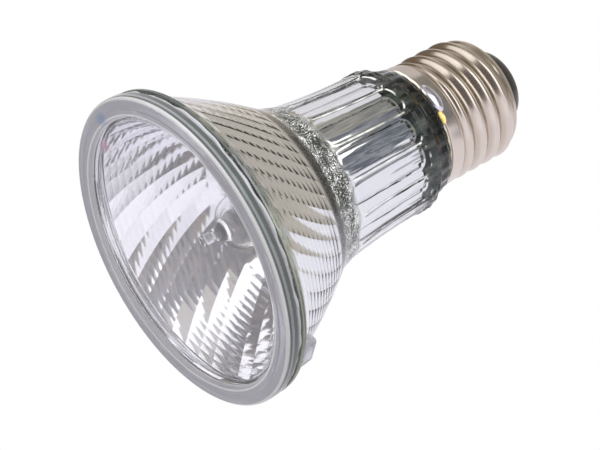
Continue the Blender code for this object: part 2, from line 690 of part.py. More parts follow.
def build_shell_wire(parts, copper):
    # From the right ferrule, up inside the spigot, over its end and back down between
    # the spigot and the cap to the skirt's edge, where the side solder holds it.
    start = FERRULE_END_Z + SEAT_GAP
    inside = SPIGOT_BORE_RADIUS - 2.0 * WIRE_DIAMETER
    channel = (SPIGOT_RADIUS + ROOT_BORE_RADIUS) / 2.0
    over = SPIGOT_END_Z + WIRE_LOOP_RISE
    brink = SPIGOT_END_Z + WIRE_LOOP_RISE / 4.0
    slot = (SHOULDER_Z + CAP_Z) / 2.0
    bearing = SIDE_SOLDER_BEARING
    points = [Vector((LEAD_X, 0.0, start)), Vector((LEAD_X, 0.0, start + WIRE_LOOP_RISE)),
              at_bearing(inside, bearing, brink),
              at_bearing((inside + channel) / 2.0, bearing, over),
              at_bearing(channel, bearing, brink),
              at_bearing(channel, bearing, CAP_Z + SKIRT_LENGTH / 2.0),
              at_bearing(channel, bearing, slot + WIRE_DIAMETER),
              at_bearing(channel + WIRE_DIAMETER, bearing, slot),
              at_bearing(SKIRT_RADIUS, bearing, slot)]
    finish(wire("shell_lead_wire", smooth_route(points, WIRE_SAMPLES_PER_SPAN), WIRE_DIAMETER),
           parts, copper)


def build_contact_wire(parts, copper):
    start = FERRULE_END_Z + SEAT_GAP
    middle = (SPIGOT_END_Z + THREAD_END_Z) / 2.0
    points = [Vector((-LEAD_X, 0.0, start)), Vector((-LEAD_X, 0.0, start + WIRE_LOOP_RISE)),
              Vector((-LEAD_X / 2.0, 0.0, SPIGOT_END_Z)), Vector((0.0, 0.0, middle)),
              Vector((0.0, 0.0, THREAD_END_Z)), Vector((0.0, 0.0, TIP_SOLDER_Z - SEAT_GAP))]
    finish(wire("contact_lead_wire", smooth_route(points, WIRE_SAMPLES_PER_SPAN),
                WIRE_DIAMETER), parts, copper)


# Screw cap

def shell_outline():
    skirt = SKIRT_RADIUS
    thread = (THREAD_CREST_RADIUS + THREAD_ROOT_RADIUS) / 2.0
    rows = math.ceil(THREAD_ROWS_PER_TURN * THREAD_LENGTH / THREAD_PITCH)
    points = bezier((SHELL_LIP_RADIUS, SHELL_END_Z), (thread, SHELL_END_Z),
                    (thread, THREAD_END_Z), 3)
    points += [(thread, THREAD_END_Z - THREAD_LENGTH * row / rows) for row in range(1, rows)]
    points += [(skirt, THREAD_Z), (skirt, (THREAD_Z + CAP_Z) / 2.0), (skirt, CAP_Z)]
    return points


def press_thread(mesh):
    # The rolled thread is a wave along the axis that climbs one pitch in each turn,
    # right-handed, and fades out over the run-in at either end.
    swing = THREAD_DEPTH / 2.0
    for vertex in mesh.vertices:
        x, y, z = vertex.co
        if not THREAD_Z < z < THREAD_FADE_Z:
            continue
        turn = math.atan2(y, x) / (2.0 * math.pi)
        wave = math.cos(2.0 * math.pi * ((z - THREAD_Z) / THREAD_PITCH - turn) - THREAD_START)
        fade = min(1.0, (z - THREAD_Z) / THREAD_RUN_IN)
        fade *= min(1.0, max(0.0, (THREAD_FADE_Z - z) / THREAD_RUN_IN))
        radius = math.hypot(x, y)
        scale = 1.0 + swing * wave * fade / radius
        vertex.co.x = x * scale
        vertex.co.y = y * scale


def build_shell(parts, nickel):
    shell = bake(turned("cap_shell", shell_outline(), SHELL_STEPS))
    press_thread(shell.data)
    wall = shell.modifiers.new("sheet", "SOLIDIFY")
    wall.thickness = SHELL_THICKNESS
    wall.offset = -1.0
    finish(shell, parts, nickel, math.radians(60.0))


def build_cement(parts, cutters, cement):
    inner = SPIGOT_RADIUS + SEAT_GAP
    outer = SKIRT_RADIUS - SHELL_THICKNESS - SEAT_GAP
    low = CAP_Z + CEMENT_START
    high = low + CEMENT_HEIGHT
    upper = ROOT_BORE_RADIUS - SEAT_GAP
    profile = [(inner, high), (upper, high), (upper, THREAD_Z), (outer, THREAD_Z - SEAT_GAP),
               (outer, low), (inner, low)]
    ring = bake(turned("cap_cement", profile, SHELL_STEPS, closed=True))
    notch = block("wire_notch", (CEMENT_NOTCH_WIDTH, outer, CEMENT_HEIGHT + 2.0 * CUT_OVERRUN),
                  at_bearing(outer, SIDE_SOLDER_BEARING, (low + high) / 2.0))
    notch.rotation_euler.z = SIDE_SOLDER_BEARING
    add_boolean(ring, as_cutter(notch, cutters), "DIFFERENCE")
    finish(ring, parts, cement)


def build_insulator(parts, black_glass):
    # Black glass keyed through the shell's lip, with a bore for the contact wire and a
    # shallow well that the contact sits in.
    bore = CONTACT_HOLE_DIAMETER / 2.0
    waist = SHELL_LIP_RADIUS - SEAT_GAP
    shoulder = SHELL_LIP_RADIUS + INSULATOR_OVERHANG
    flange = shoulder + INSULATOR_OVERHANG
    well = CONTACT_DIAMETER / 2.0 + SEAT_GAP
    top = well + INSULATOR_LAND
    flange_top = SHELL_END_Z - SHELL_THICKNESS - SEAT_GAP
    flange_low = flange_top - INSULATOR_FLANGE_HEIGHT
    belly = ((shoulder + top) / 2.0 + INSULATOR_BELLY,
             (INSULATOR_SHOULDER_Z + INSULATOR_END_Z) / 2.0 + INSULATOR_BELLY)
    profile = [(bore, WELL_Z), (well, WELL_Z), (well, INSULATOR_END_Z)]
    profile += bezier((top, INSULATOR_END_Z), belly, (shoulder, INSULATOR_SHOULDER_Z), 2)
    profile += [(waist, INSULATOR_SHOULDER_Z), (waist, flange_top), (flange, flange_top),
                (flange, flange_low), (bore, flange_low)]
    finish(turned("cap_insulator", profile, SHELL_STEPS, closed=True), parts, black_glass)


def build_contact(parts, brass):
    hole = CONTACT_HOLE_DIAMETER / 2.0
    outer = CONTACT_DIAMETER / 2.0
    top = CONTACT_Z + CONTACT_THICKNESS
    profile = [(hole, top)]
    profile += arc((outer - CONTACT_ROUND, top - CONTACT_ROUND), CONTACT_ROUND,
                   math.pi / 2.0, 0.0)
    profile += [(outer, CONTACT_Z), (hole, CONTACT_Z)]
    finish(turned("centre_contact", profile, SMALL_STEPS, closed=True), parts, brass)


def build_tip_solder(parts, solder):
    radius = TIP_SOLDER_DIAMETER / 2.0
    profile = [(0.0, TOP_Z)]
    profile += bezier((radius / 3.0, TOP_Z), (radius, TOP_Z),
                      (radius, TIP_SOLDER_Z), 4)
    profile.append((0.0, TIP_SOLDER_Z))
    finish(turned("contact_solder", profile, SMALL_STEPS), parts, solder)


def build_side_solder(parts, cutters, solder):
    # A bead laid along the skirt's edge over the end of the shell's wire. Its ellipsoid
    # is centred one bead height inside the skirt and stands out by twice that height,
    # so its outline on the skirt is smaller than its full size by this share.
    outline_share = math.sqrt(3.0) / 2.0
    seat = SKIRT_RADIUS + SEAT_GAP
    bm = bmesh.new()
    bmesh.ops.create_uvsphere(bm, u_segments=FINE_STEPS, v_segments=FINE_STEPS // 2, radius=1.0)
    bmesh.ops.scale(bm, verts=bm.verts, vec=(SIDE_SOLDER_LENGTH / outline_share / 2.0,
                                             2.0 * SIDE_SOLDER_HEIGHT,
                                             SIDE_SOLDER_WIDTH / outline_share / 2.0))
    for vertex in bm.verts:
        # The bead bends round the skirt with its long axis.
        x, depth, z = vertex.co
        vertex.co = at_bearing(seat - SIDE_SOLDER_HEIGHT - depth, x / seat + SIDE_SOLDER_BEARING,
                               CAP_Z + z)
    mesh = bpy.data.meshes.new("side_solder")
    bm.to_mesh(mesh)
    bm.free()
    bead = bpy.data.objects.new("side_solder", mesh)
    core = rod("skirt_core", seat, CAP_Z - 2.0 * SIDE_SOLDER_WIDTH,
               CAP_Z + 2.0 * SIDE_SOLDER_WIDTH, steps=2 * SHELL_STEPS)
    glass = rod("shoulder_core", SHOULDER_RADIUS + SEAT_GAP,
                CAP_Z - 2.0 * SIDE_SOLDER_WIDTH, SHOULDER_Z + SEAT_GAP / 2.0,
                steps=2 * SHELL_STEPS)
    add_boolean(bead, as_cutter(bake(core), cutters), "DIFFERENCE")
    add_boolean(bead, as_cutter(bake(glass), cutters), "DIFFERENCE")
    finish(bead, parts, solder)


def main():
    clear_scene()
    parts = new_collection(LAMP_NAME)
    cutters = new_collection("cutters")
    glass = new_material("pressed_glass", (0.86, 0.87, 0.89), 0.04, transmission=0.9)
    silicone = new_material("seal_bead", (0.72, 0.73, 0.72), 0.35)
    quartz = new_material("quartz", (0.93, 0.94, 0.96), 0.02, transmission=0.95)
    tungsten = new_material("tungsten", (0.30, 0.30, 0.31), 0.45, metallic=1.0)
    molybdenum = new_material("molybdenum", (0.55, 0.54, 0.52), 0.32, metallic=1.0)
    brass = new_material("brass", (0.78, 0.62, 0.34), 0.28, metallic=1.0)
    copper = new_material("nickel_wire", (0.66, 0.62, 0.56), 0.35, metallic=1.0)
    nickel = new_material("nickel_plate", (0.74, 0.70, 0.67), 0.20, metallic=1.0)
    cement = new_material("cement", (0.80, 0.77, 0.70), 0.85)
    black_glass = new_material("black_glass", (0.02, 0.02, 0.02), 0.12)
    solder = new_material("solder", (0.72, 0.71, 0.75), 0.22, metallic=1.0)

    build_lens(parts, glass)
    build_seal(parts, silicone)
    build_reflector(parts, cutters, glass)
    build_capsule(parts, cutters, quartz)
    build_filament(parts, tungsten)
    build_filament_leads(parts, molybdenum)
    build_foils_and_pins(parts, molybdenum)
    build_ferrules(parts, brass)
    build_shell_wire(parts, copper)
    build_contact_wire(parts, copper)
    build_shell(parts, nickel)
    build_cement(parts, cutters, cement)
    build_insulator(parts, black_glass)
    build_contact(parts, brass)
    build_tip_solder(parts, solder)
    build_side_solder(parts, cutters, solder)


main()
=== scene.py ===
# Looks of a halogen reflector lamp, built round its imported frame.
# Lengths are in metres, and mm turns a millimetre into one. The lamp stands on the rim
# of its lens with +Z along its axis, and a bearing counts from -Y towards +X.
import math
import bmesh
import bpy
import numpy as np
from mathutils import Matrix, Vector


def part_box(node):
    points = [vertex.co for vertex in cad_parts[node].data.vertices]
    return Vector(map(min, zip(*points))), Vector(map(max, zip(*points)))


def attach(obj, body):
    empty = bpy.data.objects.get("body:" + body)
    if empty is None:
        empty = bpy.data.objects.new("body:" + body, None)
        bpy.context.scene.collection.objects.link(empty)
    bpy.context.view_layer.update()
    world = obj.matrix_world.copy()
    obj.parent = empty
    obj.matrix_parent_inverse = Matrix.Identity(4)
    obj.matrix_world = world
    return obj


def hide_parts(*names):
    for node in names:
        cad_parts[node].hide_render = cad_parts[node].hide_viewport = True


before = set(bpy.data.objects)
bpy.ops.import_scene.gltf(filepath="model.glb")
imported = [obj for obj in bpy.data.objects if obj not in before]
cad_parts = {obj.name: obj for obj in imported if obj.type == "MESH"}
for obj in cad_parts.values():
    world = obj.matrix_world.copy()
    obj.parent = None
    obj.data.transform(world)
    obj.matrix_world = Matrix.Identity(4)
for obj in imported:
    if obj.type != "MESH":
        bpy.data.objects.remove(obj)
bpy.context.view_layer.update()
mm = 0.001
scene = bpy.context.scene
print("frame loaded")


def millimetres(**sizes):
    # Lengths are written in millimetres, alone or in a row, and come out in metres
    return {name: tuple(part * mm for part in size) if isinstance(size, tuple) else size * mm
            for name, size in sizes.items()}


# Shader writing

class Amount:  # a shader socket that adds, multiplies and compares like a number
    def __init__(self, paint, socket):
        self.paint = paint
        self.socket = socket

    def combine(self, operation, first, second):
        node = self.paint.node("ShaderNodeMath", {"operation": operation}, {0: first, 1: second})
        return Amount(self.paint, node.outputs[0])

    def __add__(self, other):
        return self.combine("ADD", self, other)

    def __radd__(self, other):
        return self.combine("ADD", other, self)

    def __sub__(self, other):
        return self.combine("SUBTRACT", self, other)

    def __rsub__(self, other):
        return self.combine("SUBTRACT", other, self)

    def __mul__(self, other):
        return self.combine("MULTIPLY", self, other)

    def __rmul__(self, other):
        return self.combine("MULTIPLY", other, self)

    def __truediv__(self, other):
        return self.combine("DIVIDE", self, other)

    def __pow__(self, other):
        return self.combine("POWER", self, other)

    def __gt__(self, other):
        return self.combine("GREATER_THAN", self, other)


class Paint:  # the nodes of one material, or of the world
    def __init__(self, name, kind=bpy.data.materials):
        self.material = kind.new(name)
        self.material.use_nodes = True
        self.nodes = self.material.node_tree.nodes
        self.links = self.material.node_tree.links
        self.shader = self.nodes.get("Principled BSDF")

    def node(self, kind, settings=None, inputs=None):
        made = self.nodes.new(kind)
        for key, value in (settings or {}).items():
            setattr(made, key, value)
        for key, value in (inputs or {}).items():
            self.feed(made.inputs[key], value)
        return made

    def feed(self, socket, value):
        value = value.socket if isinstance(value, Amount) else value
        if isinstance(value, bpy.types.NodeSocket):
            self.links.new(value, socket)
        elif isinstance(value, tuple) and socket.type == "RGBA":
            socket.default_value = (*value, 1.0)
        else:
            socket.default_value = value

    def set(self, **inputs):
        # A name such as BaseColor stands for the socket Base Color
        for key, value in inputs.items():
            words = "".join(" " + letter if letter.isupper() else letter for letter in key)
            self.feed(self.shader.inputs[words.strip().title().replace("Ior", "IOR")], value)

    def mix(self, share, first, second):
        made = self.node("ShaderNodeMixShader", inputs={0: share, 1: first, 2: second})
        return made.outputs[0]

    def showOnly(self, share, shader):
        # Clear where share is nothing
        clear = self.node("ShaderNodeBsdfTransparent")
        return self.mix(share, clear.outputs[0], shader)

    def finish(self, surface):
        self.feed(self.nodes["Material Output"].inputs["Surface"], surface)
        return self.material

    def place(self):
        return self.node("ShaderNodeTexCoord").outputs["Object"]

    def parts(self):
        split = self.node("ShaderNodeSeparateXYZ", inputs={0: self.place()})
        return [Amount(self, split.outputs[axis]) for axis in range(3)]

    def noise(self, scale, detail=2.0, along=1.0, distortion=0.0, roughness=0.5):
        # Where along is below one, the noise is drawn out along the lamp's axis
        spread = self.node("ShaderNodeMapping", inputs={
            "Vector": self.place(), "Scale": (1.0, 1.0, along)})
        made = self.node("ShaderNodeTexNoise", inputs={
            "Vector": spread.outputs[0], "Scale": scale, "Detail": detail,
            "Distortion": distortion, "Roughness": roughness})
        return Amount(self, made.outputs[0])

    def ramp(self, amount, low, high):
        made = self.node("ShaderNodeMapRange", {"interpolation_type": "SMOOTHSTEP"},
                         {"Value": amount, "From Min": low, "From Max": high})
        return Amount(self, made.outputs[0])

    def band(self, amount, low, high, fall, end):
        return self.ramp(amount, low, high) * (1 - self.ramp(amount, fall, end))

    def blend(self, amount, first, second):
        made = self.node("ShaderNodeMix", {"data_type": "RGBA"},
                         {"Factor": amount, "A": first, "B": second})
        return made.outputs["Result"]

    def panelSide(self, x, y):
        # From nothing in the middle of each of the neck's panels to one at its edges
        turn = x.combine("ARCTAN2", x, 0 - y) * (reflectorSizes["panels"] / (2.0 * math.pi))
        offset = x.combine("FRACT", turn + 0.5, 0.0) - 0.5
        return x.combine("ABSOLUTE", offset, 0.0) * 2.0

    def bump(self, height, distance, strength=1.0):
        made = self.node("ShaderNodeBump", inputs={
            "Height": height, "Distance": distance, "Strength": strength})
        return made.outputs[0]


def roundBlend(share):
    # Eases from nothing to one, and stays there on either side
    share = np.clip(share, 0.0, 1.0)
    return share * share * (3.0 - 2.0 * share)


# Mesh writing: a ring is one circle of points about the axis, listed by bearing

def linked(name, data):
    item = bpy.data.objects.new(name, data)
    scene.collection.objects.link(item)
    return item


def pole(height):
    return np.array([[0.0, 0.0, height]])


def bearings(columns):
    return np.arange(columns) * 2.0 * math.pi / columns


def ringPoints(radius, height, angle):
    radius = np.broadcast_to(np.asarray(radius, float), angle.shape)
    height = np.broadcast_to(np.asarray(height, float), angle.shape)
    return np.stack([radius * np.sin(angle), -radius * np.cos(angle), height], axis=1)


def skinRings(name, rings, materials, ringMaterial=None, loop=False, sharp=30.0):
    # Quads join each ring to the next. A ring of one point is a pole. The rings run down
    # the outer side, so the faces look outwards.
    points = np.concatenate(rings)
    starts = np.cumsum([0] + [len(ring) for ring in rings])
    faces = []
    slots = []
    for upper in range(len(rings) if loop else len(rings) - 1):
        lower = (upper + 1) % len(rings)
        above, below = starts[upper], starts[lower]
        countAbove, countBelow = len(rings[upper]), len(rings[lower])
        count = max(countAbove, countBelow)
        for column in range(count):
            after = (column + 1) % count
            if countAbove == 1:
                faces.append((above, below + column, below + after))
            elif countBelow == 1:
                faces.append((above + after, above + column, below))
            else:
                faces.append((above + after, above + column, below + column, below + after))
        chosen = ringMaterial(upper) if ringMaterial else 0
        slots += np.broadcast_to(chosen, (count,)).tolist()
    mesh = bpy.data.meshes.new(name)
    mesh.from_pydata(points.tolist(), [], faces)
    for material in materials:
        mesh.materials.append(material)
    mesh.polygons.foreach_set("material_index", np.array(slots, np.int32))
    mesh.shade_smooth()
    mesh.set_sharp_from_angle(angle=math.radians(sharp))
    mesh.update()
    return linked(name, mesh)


def profileRings(profile, angle):
    return [pole(height) if radius < 1e-7 else ringPoints(radius, height, angle)
            for radius, height in profile]


def turnProfile(name, profile, columns, material, loop=False, sharp=30.0):
    rings = profileRings(profile, bearings(columns))
    return skinRings(name, rings, [material], loop=loop, sharp=sharp)


def faceOutwards(piece):
    work = bmesh.new()
    work.from_mesh(piece.data)
    bmesh.ops.recalc_face_normals(work, faces=work.faces)
    work.to_mesh(piece.data)
    work.free()
    return piece


def shapedPiece(name, work, material):
    # One smooth piece from a shape whose points were worked one by one
    mesh = bpy.data.meshes.new(name)
    work.to_mesh(mesh)
    work.free()
    mesh.materials.append(material)
    mesh.shade_smooth()
    return faceOutwards(linked(name, mesh))


def arcPoints(centre, radius, start, end, steps):
    angles = [start + (end - start) * step / steps for step in range(steps + 1)]
    return [(centre[0] + radius * math.cos(a), centre[1] + radius * math.sin(a)) for a in angles]


def curvePoints(start, control, end, steps):
    shares = [step / steps for step in range(steps + 1)]
    return [tuple((1 - t) ** 2 * s + 2 * t * (1 - t) * c + t * t * e
                  for s, c, e in zip(start, control, end)) for t in shares]


def linePoints(start, end, steps):
    # The points after the first on the way to the end
    return [tuple(s + (e - s) * step / steps for s, e in zip(start, end))
            for step in range(1, steps + 1)]


def stands(piece, slotName, *nodes):
    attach(piece, "root")
    if nodes:
        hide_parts(*nodes)
    return piece


# Materials

# Shared colours: pale painted light, painted shade for the rim and for the dark depth seen through
# bare glass, and the dull painted highlights streaked in it
tints = {
    "paintedLight": (0.86, 0.84, 0.90), "white": (1.0, 1.0, 1.0), "rimShade": (0.085, 0.10, 0.09),
    "depth": (0.012, 0.02, 0.015), "paintedGleamStreak": (0.12, 0.15, 0.125),
}


def clearGlass(name, colour, roughness=0.0, waviness=0.00002, waveScale=160.0, index=1.47):
    paint = Paint(name)
    wave = paint.noise(waveScale, 1.0)
    paint.set(BaseColor=colour, Roughness=roughness, Ior=index, TransmissionWeight=1.0,
              Normal=paint.bump(wave, waviness))
    return paint


def clouded(paint, share, colour, roughness=0.12):
    # Turns the finish so far into solid colour by a share, and gives the material
    body = paint.node("ShaderNodeBsdfPrincipled", inputs={
        "Base Color": colour, "Roughness": roughness, "IOR": 1.47})
    return paint.finish(paint.mix(share, paint.shader.outputs[0], body.outputs[0]))


def cloudedFinish(name, dark, light, roughness, clouds, bumps, edges=None, **others):
    # Goes from dark to light with its clouds, a noise. Roughness is its least and its rise
    # with the clouds, and bumps are their depth and strength.
    paint = Paint(name)
    cloud = paint.noise(*clouds)
    tone = paint.ramp(cloud, *edges) if edges else cloud
    paint.set(BaseColor=paint.blend(tone, dark, light), Normal=paint.bump(cloud, *bumps),
              Roughness=roughness[0] + cloud * roughness[1], **others)
    return paint.material


# Where each look of the lens starts and is full: radii, then heights
lensZones = millimetres(
    edge=(27.85, 28.0), innerLine=(28.5, 28.65), flange=(28.75, 28.95), flangeSide=(31.0, 31.5),
    outerLine=(31.65, 31.75), wall=(31.85, 32.1), wallZ=(0.45, 0.8), gleamZ=(1.05, 1.15),
    gleamEndZ=(1.55, 1.75), backZ=(1.2, 1.6), blueSmear=(-29.6, 1.0, 1.7),
    pinkSmear=(-25.2, 7.0, 2.0)
)


def lensGlass():
    # Clear in the window, with a pale band of painted light at its edge. The flange is joined to
    # the reflector behind it and looks grey, with a painted highlight line on either side of its
    # flat. Its outer wall is painted dark green-grey, painted shade over the thick glass's green,
    # with a paler painted gleam along it. Two faint smears of colour lie on the front.
    zone = lensZones
    paint = clearGlass("lensGlass", (0.975, 0.98, 0.985), 0.03, 0.000006, 120.0)
    x, y, z = paint.parts()
    radius = (x * x + y * y) ** 0.5
    cloud = paint.noise(60.0, 2.0)
    edge = paint.ramp(radius, *zone["edge"])
    flange = paint.ramp(radius, *zone["flange"])
    wall = paint.ramp(radius, *zone["wall"]) * paint.ramp(z, *zone["wallZ"])
    gleam = paint.ramp(z, *zone["gleamZ"]) - paint.ramp(z, *zone["gleamEndZ"])
    # Painted highlight lines on either side of the flange's flat
    innerLine = paint.ramp(radius, *zone["innerLine"]) - flange
    outerLine = paint.ramp(radius, *zone["outerLine"]) * (1 - wall) * 0.8
    grey = paint.blend(cloud, (0.46, 0.45, 0.51), (0.62, 0.60, 0.67))
    # Pale painted light inside the flange, at the window's edge
    tint = paint.blend(flange, tints["paintedLight"], grey)
    tint = paint.blend(innerLine, tint, tints["white"])
    tint = paint.blend(outerLine, tint, tints["white"])
    # Painted shade on the outer wall over the thick glass's green, with a band of paler painted
    # gleam
    dark = paint.blend(cloud, tints["rimShade"], (0.14, 0.155, 0.15))
    tint = paint.blend(wall, tint, paint.blend(gleam, dark, (0.27, 0.285, 0.30)))
    front = 1 - paint.ramp(z, *zone["backZ"]) * (1 - paint.ramp(radius, *zone["flangeSide"]))

    def smear(atX, atY, size):
        gone = (((x - atX) ** 2 + (y - atY) ** 2 * 0.35) ** 0.5 + (cloud - 0.5) * mm) / size
        return (1 - paint.ramp(gone, 0.2, 1.0)) * front

    blue = smear(*zone["blueSmear"]) * 0.7
    pink = smear(*zone["pinkSmear"])
    tint = paint.blend(blue, tint, (0.20, 0.36, 0.62))
    tint = paint.blend(pink, tint, (0.80, 0.32, 0.50))
    return clouded(paint, edge * front * 0.72 + pink * (1 - edge) * 0.4, tint)


# Where each look of the reflector starts and is full, and where a third and fourth number
# stand, fades and is gone: heights, and shares of the way across a panel
glassZones = dict(millimetres(
    rimEnd=(5.2, 6.4), seat=(29.5, 30.5), bowl=(10.0, 12.0), collar=(24.3, 25.6, 30.0, 32.0),
    neck=(31.0, 31.8), flutes=(31.0, 33.0, 50.4, 50.8), bare=(53.0, 54.5),
    filmCollar=(23.5, 26.0), filmNeck=(29.5, 33.0), filmEdge=(-0.08, 0.08), endRim=(0.1, 0.32),
    fewerLines=(-2, 12)
), shade=(0.80, 0.90, 0.93, 0.95), ridge=(0.93, 0.96))


def filmEnd(side):
    # The film ends in an arch on each panel
    return reflectorSizes["filmEndZ"] - side ** 3 * reflectorSizes["archDrop"]


def mirrorFilm():
    # Aluminium film on the inside of the glass. The facets are clean; behind the collar
    # and down the neck the pressing left long waves, and the collar a fine stipple.
    zone = glassZones
    paint = Paint("mirrorFilm")
    x, y, z = paint.parts()
    cloud = paint.noise(90.0, 3.0)
    tint = paint.blend(cloud, (0.88, 0.87, 0.91), (0.93, 0.92, 0.94))
    neck = paint.ramp(z, *zone["filmNeck"])
    waves = paint.noise(330.0, 2.0, 0.12, distortion=0.8)
    collar = paint.ramp(z, *zone["filmCollar"]) * (1 - neck)
    stipple = paint.noise(2300.0, 1.0)
    patches = paint.noise(300.0, 2.0)
    # On the collar the film is dark with bright points of painted glints
    points = paint.ramp(stipple + patches * 0.25, 0.70, 0.76)
    spotted = paint.blend(points, (0.20, 0.215, 0.195), (0.95, 0.95, 0.93))
    tint = paint.blend(collar, tint, spotted)
    height = waves * neck + stipple * collar * 0.35
    # Past the film's arched end the inside is painted dark green-grey: painted shade, with dull
    # painted highlights in streaks
    end = filmEnd(paint.panelSide(x, y)) + (cloud - 0.5) * (1.2 * mm)
    past = paint.ramp(z - end, *zone["filmEdge"])
    depths = paint.noise(420.0, 3.0, 0.2, distortion=0.6)
    bare = paint.blend(paint.ramp(depths, 0.42, 0.62), tints["depth"], tints["paintedGleamStreak"])
    paint.set(BaseColor=tint, Metallic=1.0, Roughness=0.04 + collar * 0.22,
              Normal=paint.bump(height, 0.00015))
    return clouded(paint, past, bare, 0.15)


def pressedGlass():
    # Clear glass, with painted shade over its green tint about the rim and pale painted light on
    # the seat, stippled and clouded dark on the collar with white painted glints, more of them
    # towards +X, and a little uneven elsewhere. Painted highlights on the ridges and dark lines of
    # painted shade, fewer towards +X, run between the neck's panels, and a painted highlight round
    # their ends.
    zone = glassZones
    paint = Paint("pressedGlass")
    x, y, z = paint.parts()
    collar = paint.band(z, *zone["collar"])
    stipple = paint.noise(5000.0, 1.0)
    bare = paint.ramp(z, *zone["bare"])
    streaks = paint.noise(500.0, 2.0, 0.12)
    height = paint.noise(160.0, 1.0) * 0.2 + stipple * collar * 0.3 + streaks * bare * 0.5
    paint.set(BaseColor=(0.93, 0.955, 0.94), Roughness=0.0, Ior=1.47, TransmissionWeight=1.0,
              Normal=paint.bump(height, 0.0001))
    cloud = paint.noise(45.0, 2.0)
    radius = (x * x + y * y) ** 0.5
    # Painted shade about the rim, over the thick glass's green
    tint = paint.blend(paint.ramp(cloud, 0.4, 0.62), tints["rimShade"], (0.26, 0.28, 0.21))
    # Pale painted light on the seat under the lens
    tint = paint.blend(paint.ramp(radius, *zone["seat"]), tints["paintedLight"], tint)
    rim = 1 - paint.ramp(z, *zone["rimEnd"])
    patches = paint.noise(380.0, 2.0)
    # White painted glints on the stippled collar, more of them towards +X
    points = paint.ramp(stipple + patches * 0.4 + x * 1.5, 0.775, 0.83) * collar
    dots = paint.blend(points, (0.035, 0.045, 0.035), tints["white"])
    tint = paint.blend(paint.ramp(z, *zone["bowl"]), tint, dots)
    side = paint.panelSide(x, y)
    flutes = paint.band(z, *zone["flutes"])
    # Painted highlights on the ridges between the panels
    ridge = paint.ramp(side, *zone["ridge"]) * flutes * paint.ramp(patches, 0.25, 0.7)
    # Dark lines of painted shade beside the ridges, fewer towards +X
    shade = paint.band(side, *zone["shade"]) * flutes
    shade = shade * (1 - paint.ramp(x, *zone["fewerLines"]) * 0.85)
    # A painted highlight round the arched ends of the panels
    endGap = z - filmEnd(side) - 0.2 * mm
    endRim = 1 - paint.ramp(x.combine("ABSOLUTE", endGap, 0.0), *zone["endRim"])
    endRim = endRim * paint.ramp(patches, 0.44, 0.58)
    lines = paint.blend(shade > 0.15, (0.95, 0.95, 0.92), (0.07, 0.08, 0.06))
    tint = paint.blend(paint.ramp(z, *zone["neck"]), tint, lines)
    return clouded(paint, rim * 0.65 + collar * 0.5 + points * 0.4 + ridge * 0.6
                   + shade * 0.35 + endRim * 0.7, tint)


# Lens

lensSizes = millimetres(
    flange=2.8, frontRound=0.95, backRound=0.4, ledge=3.85, recess=0.9, draft=0.45, crown=0.5,
    window=2.4, tongueInset=3.15, tongueWidth=1.5, tongueDepth=1.5, tongueRound=0.3, groove=0.12,
    ridge=0.25, edge=0.3, draftStart=0.45, draftFoot=0.1
)


def buildLens():
    size = lensSizes
    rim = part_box("front_lens")[1].x
    window = rim - size["ledge"]
    floor = window - size["draft"]
    tongue = rim - size["tongueInset"]
    inner = tongue - size["tongueWidth"]
    tongueEnd = size["flange"] + size["tongueDepth"]
    rounding = size["frontRound"]

    def crown(radius):
        return size["recess"] - size["crown"] * (1.0 - (radius / floor) ** 2)

    profile = [(inner * t, crown(inner * t) + size["window"]) for t in np.linspace(0, 1, 12)]
    soft = size["tongueRound"]
    profile += curvePoints((inner, tongueEnd - soft), (inner, tongueEnd),
                           (inner + soft, tongueEnd), 4)
    profile += curvePoints((tongue - soft, tongueEnd), (tongue, tongueEnd),
                           (tongue, tongueEnd - soft), 4)
    profile.append((tongue, size["flange"]))
    back = size["backRound"]
    profile += arcPoints((rim - back, size["flange"] - back), back, math.pi / 2, 0.0, 6)
    profile += arcPoints((rim - rounding, rounding), rounding, 0.0, -math.pi / 2, 14)
    ridgeTop = window + size["ridge"]
    land = rim - rounding
    middle = (land + ridgeTop) / 2.0
    groove = size["groove"]
    profile += curvePoints((middle + 2 * groove, 0.0), (middle, 2 * groove),
                           (middle - 2 * groove, 0.0), 6)
    profile += curvePoints((ridgeTop, 0.0), (window, 0.0), (window, size["edge"]), 5)
    profile += curvePoints((window - 0.02 * mm, size["draftStart"]),
                           (floor + size["draftFoot"], crown(floor)), (floor, crown(floor)), 5)
    profile += [(floor * t, crown(floor * t)) for t in np.linspace(0.97, 0, 14)]
    lens = turnProfile("lens", profile, 294, lensFinish)
    return stands(lens, "pressed_glass", "front_lens")


# Reflector

reflectorSizes = dict(millimetres(
    rimInset=0.15, rimBand=1.0, rimBackRound=0.5, rimBack=3.4, bowlMouth=29.2, bowlDepth=17.3,
    collar=19.4, collarHeight=6.5, neckStart=17.1, neckEnd=15.6, neckLength=21.5, neckStep=1.1,
    endStart=14.4, shoulder=13.8, shoulderZ=58.2, seat=29.4, seatDepth=1.5, mirrorMouth=28.2,
    mirrorThroat=16.4, boreStart=12.95, boreEnd=12.3, floorZ=55.0, floorTopZ=57.4, spigot=10.7,
    spigotBore=8.6, spigotEndZ=64.2, filmEndZ=51.6, panelDepth=0.55, archCentreZ=29.7,
    archRidgeZ=31.9, runOut=1.5, endArchZ=52.9, endRunOut=0.9, ribDepth=0.18, ribZ=52.0,
    groove=0.34, crowdZ=26.0, facetBulge=0.022, rimFrontRound=0.25, fillet=(0.75, 1.9),
    shoulderRound=0.5, throatZ=25.5, boreStartZ=32.0, archDrop=1.6, ribRise=1.2, crowdRise=3.0
), panels=14, ribs=28, grooveShare=0.14, facetColumns=42, facetRows=14,
    facetTwist=math.radians(1.96), facetEndShare=0.83, stepsPerFacet=7, rowsPerFacet=4)


